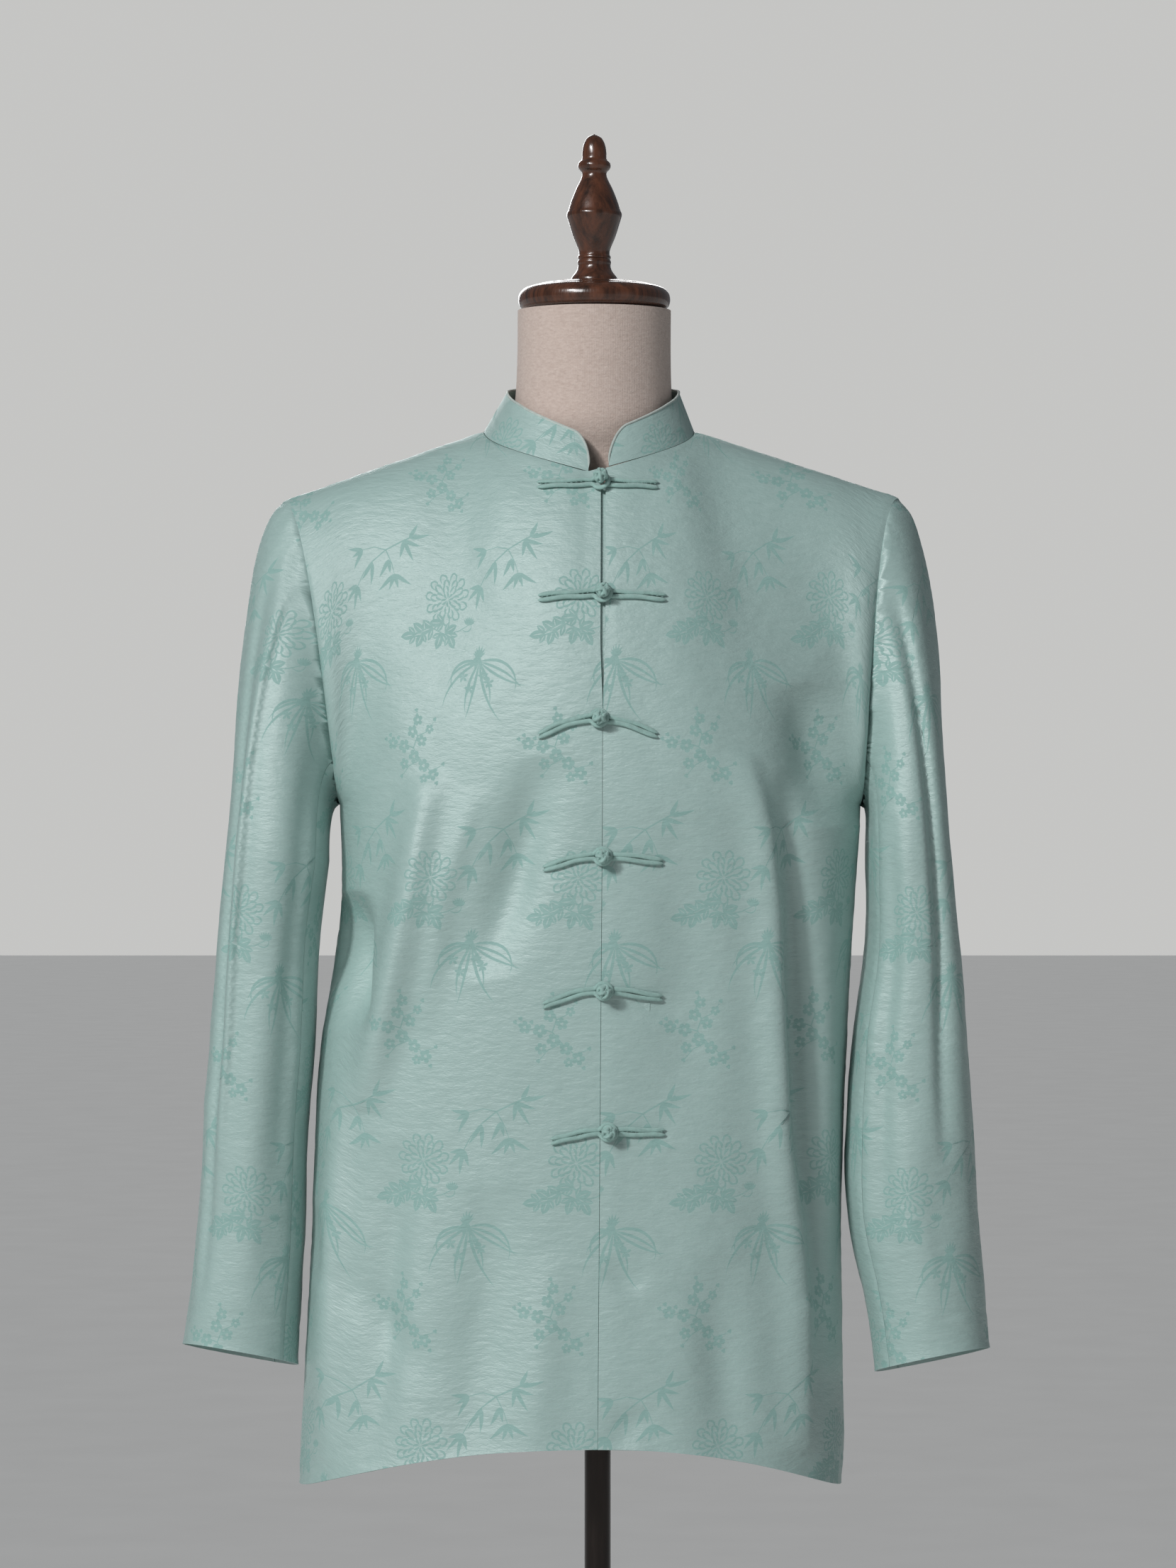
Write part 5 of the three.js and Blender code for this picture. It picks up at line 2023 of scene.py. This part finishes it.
    def build_underlay(self) -> None:
        """The strip that shows inside the front opening."""
        share, fall = np.meshgrid(np.linspace(-0.07, 0.1, 14), np.linspace(0.05, 1.975, 180))
        left = self.shape.bare_panel(Side.LEFT, np.abs(share), fall, Facing.FRONT)
        right = self.shape.bare_panel(Side.RIGHT, np.abs(share), fall, Facing.FRONT)
        points = np.where((share < 0)[..., None], left, right)
        normals = ClothTable(points, 1, 0, 0).normals
        table = ClothTable(points - normals * self.underlay_depth, 1, 0, share.shape[1] // 2)
        name, node = "placket_underlay_silk", "placket_underlay"
        piece = SilkPiece(name, (node,), table, (0, 0), thickness=1.0, spacing=5.0, patterned=False)
        self.dress(piece)

    def build_frogs(self) -> None:
        """The six knot buttons and loops down the front."""
        face = FrontFace(self.fronts)
        for frog in (
            Frog(1, 2.5, 1361, 47, 1.6, 42, 1.6),
            Frog(2, 3.7, 1279, 47.2, 3, 46, 2.6),
            Frog(3, 1, 1188.5, 44.5, 12.9, 42.5, 12.3),
            Frog(4, 3.7, 1089, 43, 9.7, 43.4, 4.1),
            Frog(5, 4.5, 991.5, 44.8, 11.3, 42.6, 5.6),
            Frog(6, 7.6, 889, 42, 7.2, 41.3, 0.8),
        ):
            frog.build(face, self.cord, self.thread)

    def build(self) -> None:
        """Every piece, from the body out to the trimmings."""
        self.build_fronts()
        self.build_back()
        self.build_sleeves()
        self.build_collar()
        self.build_underlay()
        self.build_frogs()


@dataclass
class Stand:
    """The form and what it stands on and wears above it."""

    cap_foot: float = 1495.8
    finial_rise: float = 20.9
    cap_x: float = -2.5
    plate_foot: float = 696.7
    pole_foot: float = 78.3

    def build(
        self, linen: bpy.types.Material, walnut: bpy.types.Material, metal: bpy.types.Material
    ) -> None:
        """The form, its cap and finial, the plate, the pole and the base."""
        DressForm().build(linen)
        cap = (
            (0, 0), (50, 0), (55.5, 1.6), (57, 6.5), (56.4, 11.5), (53, 15.5), (47.5, 17.4),
            (45.8, 16.6), (44.4, 18.2), (38.4, 19.4), (36.8, 18.6), (35.5, 20.6), (0, 20.6),
        )
        finial = (
            (0, 0), (17.5, 0), (17.4, 3), (13.2, 8), (12, 12), (12.6, 14.2), (12.4, 15.8),
            (11.6, 16.6), (12.4, 17.6), (12.2, 19.4), (11.4, 20), (11.6, 24), (16, 34), (19.6, 46),
            (20.6, 49), (20.6, 51.6), (19.6, 53), (17.6, 60), (13.6, 70), (9.4, 78), (9, 82),
            (11.8, 84.4), (12.4, 87), (11.6, 89.6), (9, 91.6), (9.2, 97), (8.2, 103), (5.4, 108.4),
            (0, 110.7),
        )
        plate = ((0, 0), (26, 0), (34, 3), (34, 9), (0, 9))
        pole = ((0, 0), (9.8, 0), (9.8, 618.1), (0, 618.1))
        base = (
            (0, 0), (182, 0), (185, 3), (185, 8), (181, 11.5), (120, 16), (60, 22), (34, 30),
            (26, 44), (19, 60), (17.5, 74), (14, 78), (0, 78),
        )
        above_cap, slot = self.cap_foot + self.finial_rise, "stand_metal"
        for turned, finish in (
            (Turned("neck_cap_turned", "neck_cap", "walnut", cap, self.cap_foot, self.cap_x), walnut),
            (Turned("finial_turned", "finial", "walnut", finial, above_cap, self.cap_x, 64), walnut),
            (Turned("form_plate_turned", "form_plate", slot, plate, self.plate_foot, 0, 64, 1), metal),
            (Turned("pole_tube", "pole", slot, pole, self.pole_foot, 0, 48, 0), metal),
            (Turned("base_turned", "base", slot, base, 0, 0, 128), metal),
        ):
            turned.build(finish)


@dataclass
class Studio:
    """A plain pale floor in millimetres, and soft light and the camera in metres."""

    distance: float = 3.8
    height: float = 1.141
    middle: float = -0.0072
    view_height: float = 1.1735
    floor_reach: float = 30000
    floor_gap: float = 0.4

    def build(self) -> None:
        """Sets up the room."""
        self.floor()
        self.sun("key", place=(-2.3, -3.1, 1.9), strength=1.4, softness=7)
        self.panel_lamp("high", (-1.0, -2.1, 2.35), (-0.05, 0, 1.25), size=0.6, power=15)
        self.sun("behind", place=(-0.4, 3.4, 0.9), strength=0.75, softness=25)
        self.panel_lamp("fill", (2.8, -2.6, 1.5), (0, 0, 1.0), size=2.0, power=1.5)
        self.world()
        bpy.context.scene.view_settings.view_transform = "Standard"
        self.camera()

    def world(self) -> None:
        """Dim pale light from all round, in front of a pale background."""
        world = bpy.data.worlds.new("studio")
        world.use_nodes = True
        tree = world.node_tree
        dim = tree.nodes["Background"]
        dim.inputs["Color"].default_value = (0.86, 0.93, 1.0, 1)
        dim.inputs["Strength"].default_value = 0.13
        pale = tree.nodes.new("ShaderNodeBackground")
        pale.inputs["Color"].default_value = (0.56, 0.56, 0.55, 1)
        path = tree.nodes.new("ShaderNodeLightPath")
        choice = tree.nodes.new("ShaderNodeMixShader")
        tree.links.new(path.outputs["Is Camera Ray"], choice.inputs[0])
        tree.links.new(dim.outputs[0], choice.inputs[1])
        tree.links.new(pale.outputs[0], choice.inputs[2])
        tree.links.new(choice.outputs[0], tree.nodes["World Output"].inputs["Surface"])
        bpy.context.scene.world = world

    def floor(self) -> None:
        """A wide flat floor."""
        line = np.linspace(-self.floor_reach, self.floor_reach, 7)
        x, y = np.meshgrid(line, line)
        points = stack(x, y, np.full_like(x, -self.floor_gap))
        paper = make_mesh("studio_floor", points.reshape(-1, 3), [grid_faces(*x.shape)])
        paper.data.materials.append(StudioPaper().make())

    def aim(self, light: bpy.types.Light, place: tuple, target: tuple) -> None:
        """Puts a light at a place, facing a target."""
        lamp = bpy.data.objects.new(light.name, light)
        lamp.location = place
        lamp.rotation_mode = "QUATERNION"
        lamp.rotation_quaternion = (Vector(target) - Vector(place)).to_track_quat("-Z", "Y")
        bpy.context.scene.collection.objects.link(lamp)

    def sun(self, name: str, place: tuple, strength: float, softness: float) -> None:
        """Even light from a direction, with its softness in degrees."""
        light = bpy.data.lights.new(name, "SUN")
        light.energy, light.angle = strength, math.radians(softness)
        self.aim(light, place, (0, 0, 0))

    def panel_lamp(self, name: str, place: tuple, target: tuple, size: float, power: float) -> None:
        """A soft square lamp."""
        light = bpy.data.lights.new(name, "AREA")
        light.size, light.energy = size, power
        self.aim(light, place, target)

    def camera(self) -> None:
        """The camera, level and square to the jacket."""
        data = bpy.data.cameras.new("camera")
        data.sensor_width = 36
        data.lens = data.sensor_width * self.distance / self.view_height
        eye = bpy.data.objects.new("camera", data)
        eye.location = (self.middle, -self.distance, self.height)
        eye.rotation_euler = (math.radians(90), 0, 0)
        bpy.context.scene.collection.objects.link(eye)
        bpy.context.scene.camera = eye


def corners(box: tuple[Vector, Vector]) -> list[list[float]]:
    """A box as plain lists."""
    return [list(corner) for corner in box]


def main() -> None:
    """Builds the jacket, its form and the studio."""
    logging.basicConfig(level=logging.INFO, format="%(name)s: %(message)s")
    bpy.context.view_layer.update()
    Studio().build()
    ground = Silk(
        "silk_satin_ground",
        light=(0.425, 0.58, 0.55),
        deep=(0.375, 0.53, 0.5),
        roughness=(0.38, 0.47),
        sheen=0.12,
        crinkle=0.00018,
        gloss=1.0,
    )
    figure = Silk(
        "silk_woven_figure",
        light=(0.335, 0.525, 0.49),
        deep=(0.275, 0.465, 0.43),
        roughness=(0.54, 0.66),
        sheen=0.2,
        crinkle=0.0002,
    )
    jacket = Jacket(
        JacketShape(),
        Tailoring(),
        [ground.make(), figure.make()],
        Thread("bias_cord", (0.40, 0.62, 0.57)).make(),
        # The stitches are real thread, but their colour, darker than the cord, is painted shade for the
        # dimples they pull into the cords.
        Thread("sewing_thread_painted_shade", (0.30, 0.50, 0.455), 2400).make(),
        Thread("pale_piping", (0.72, 0.82, 0.77), 1500).make(),
    )
    jacket.build()
    Stand().build(Linen().make(), Walnut().make(), StandMetal().make())


if __name__ == "__main__":
    main()
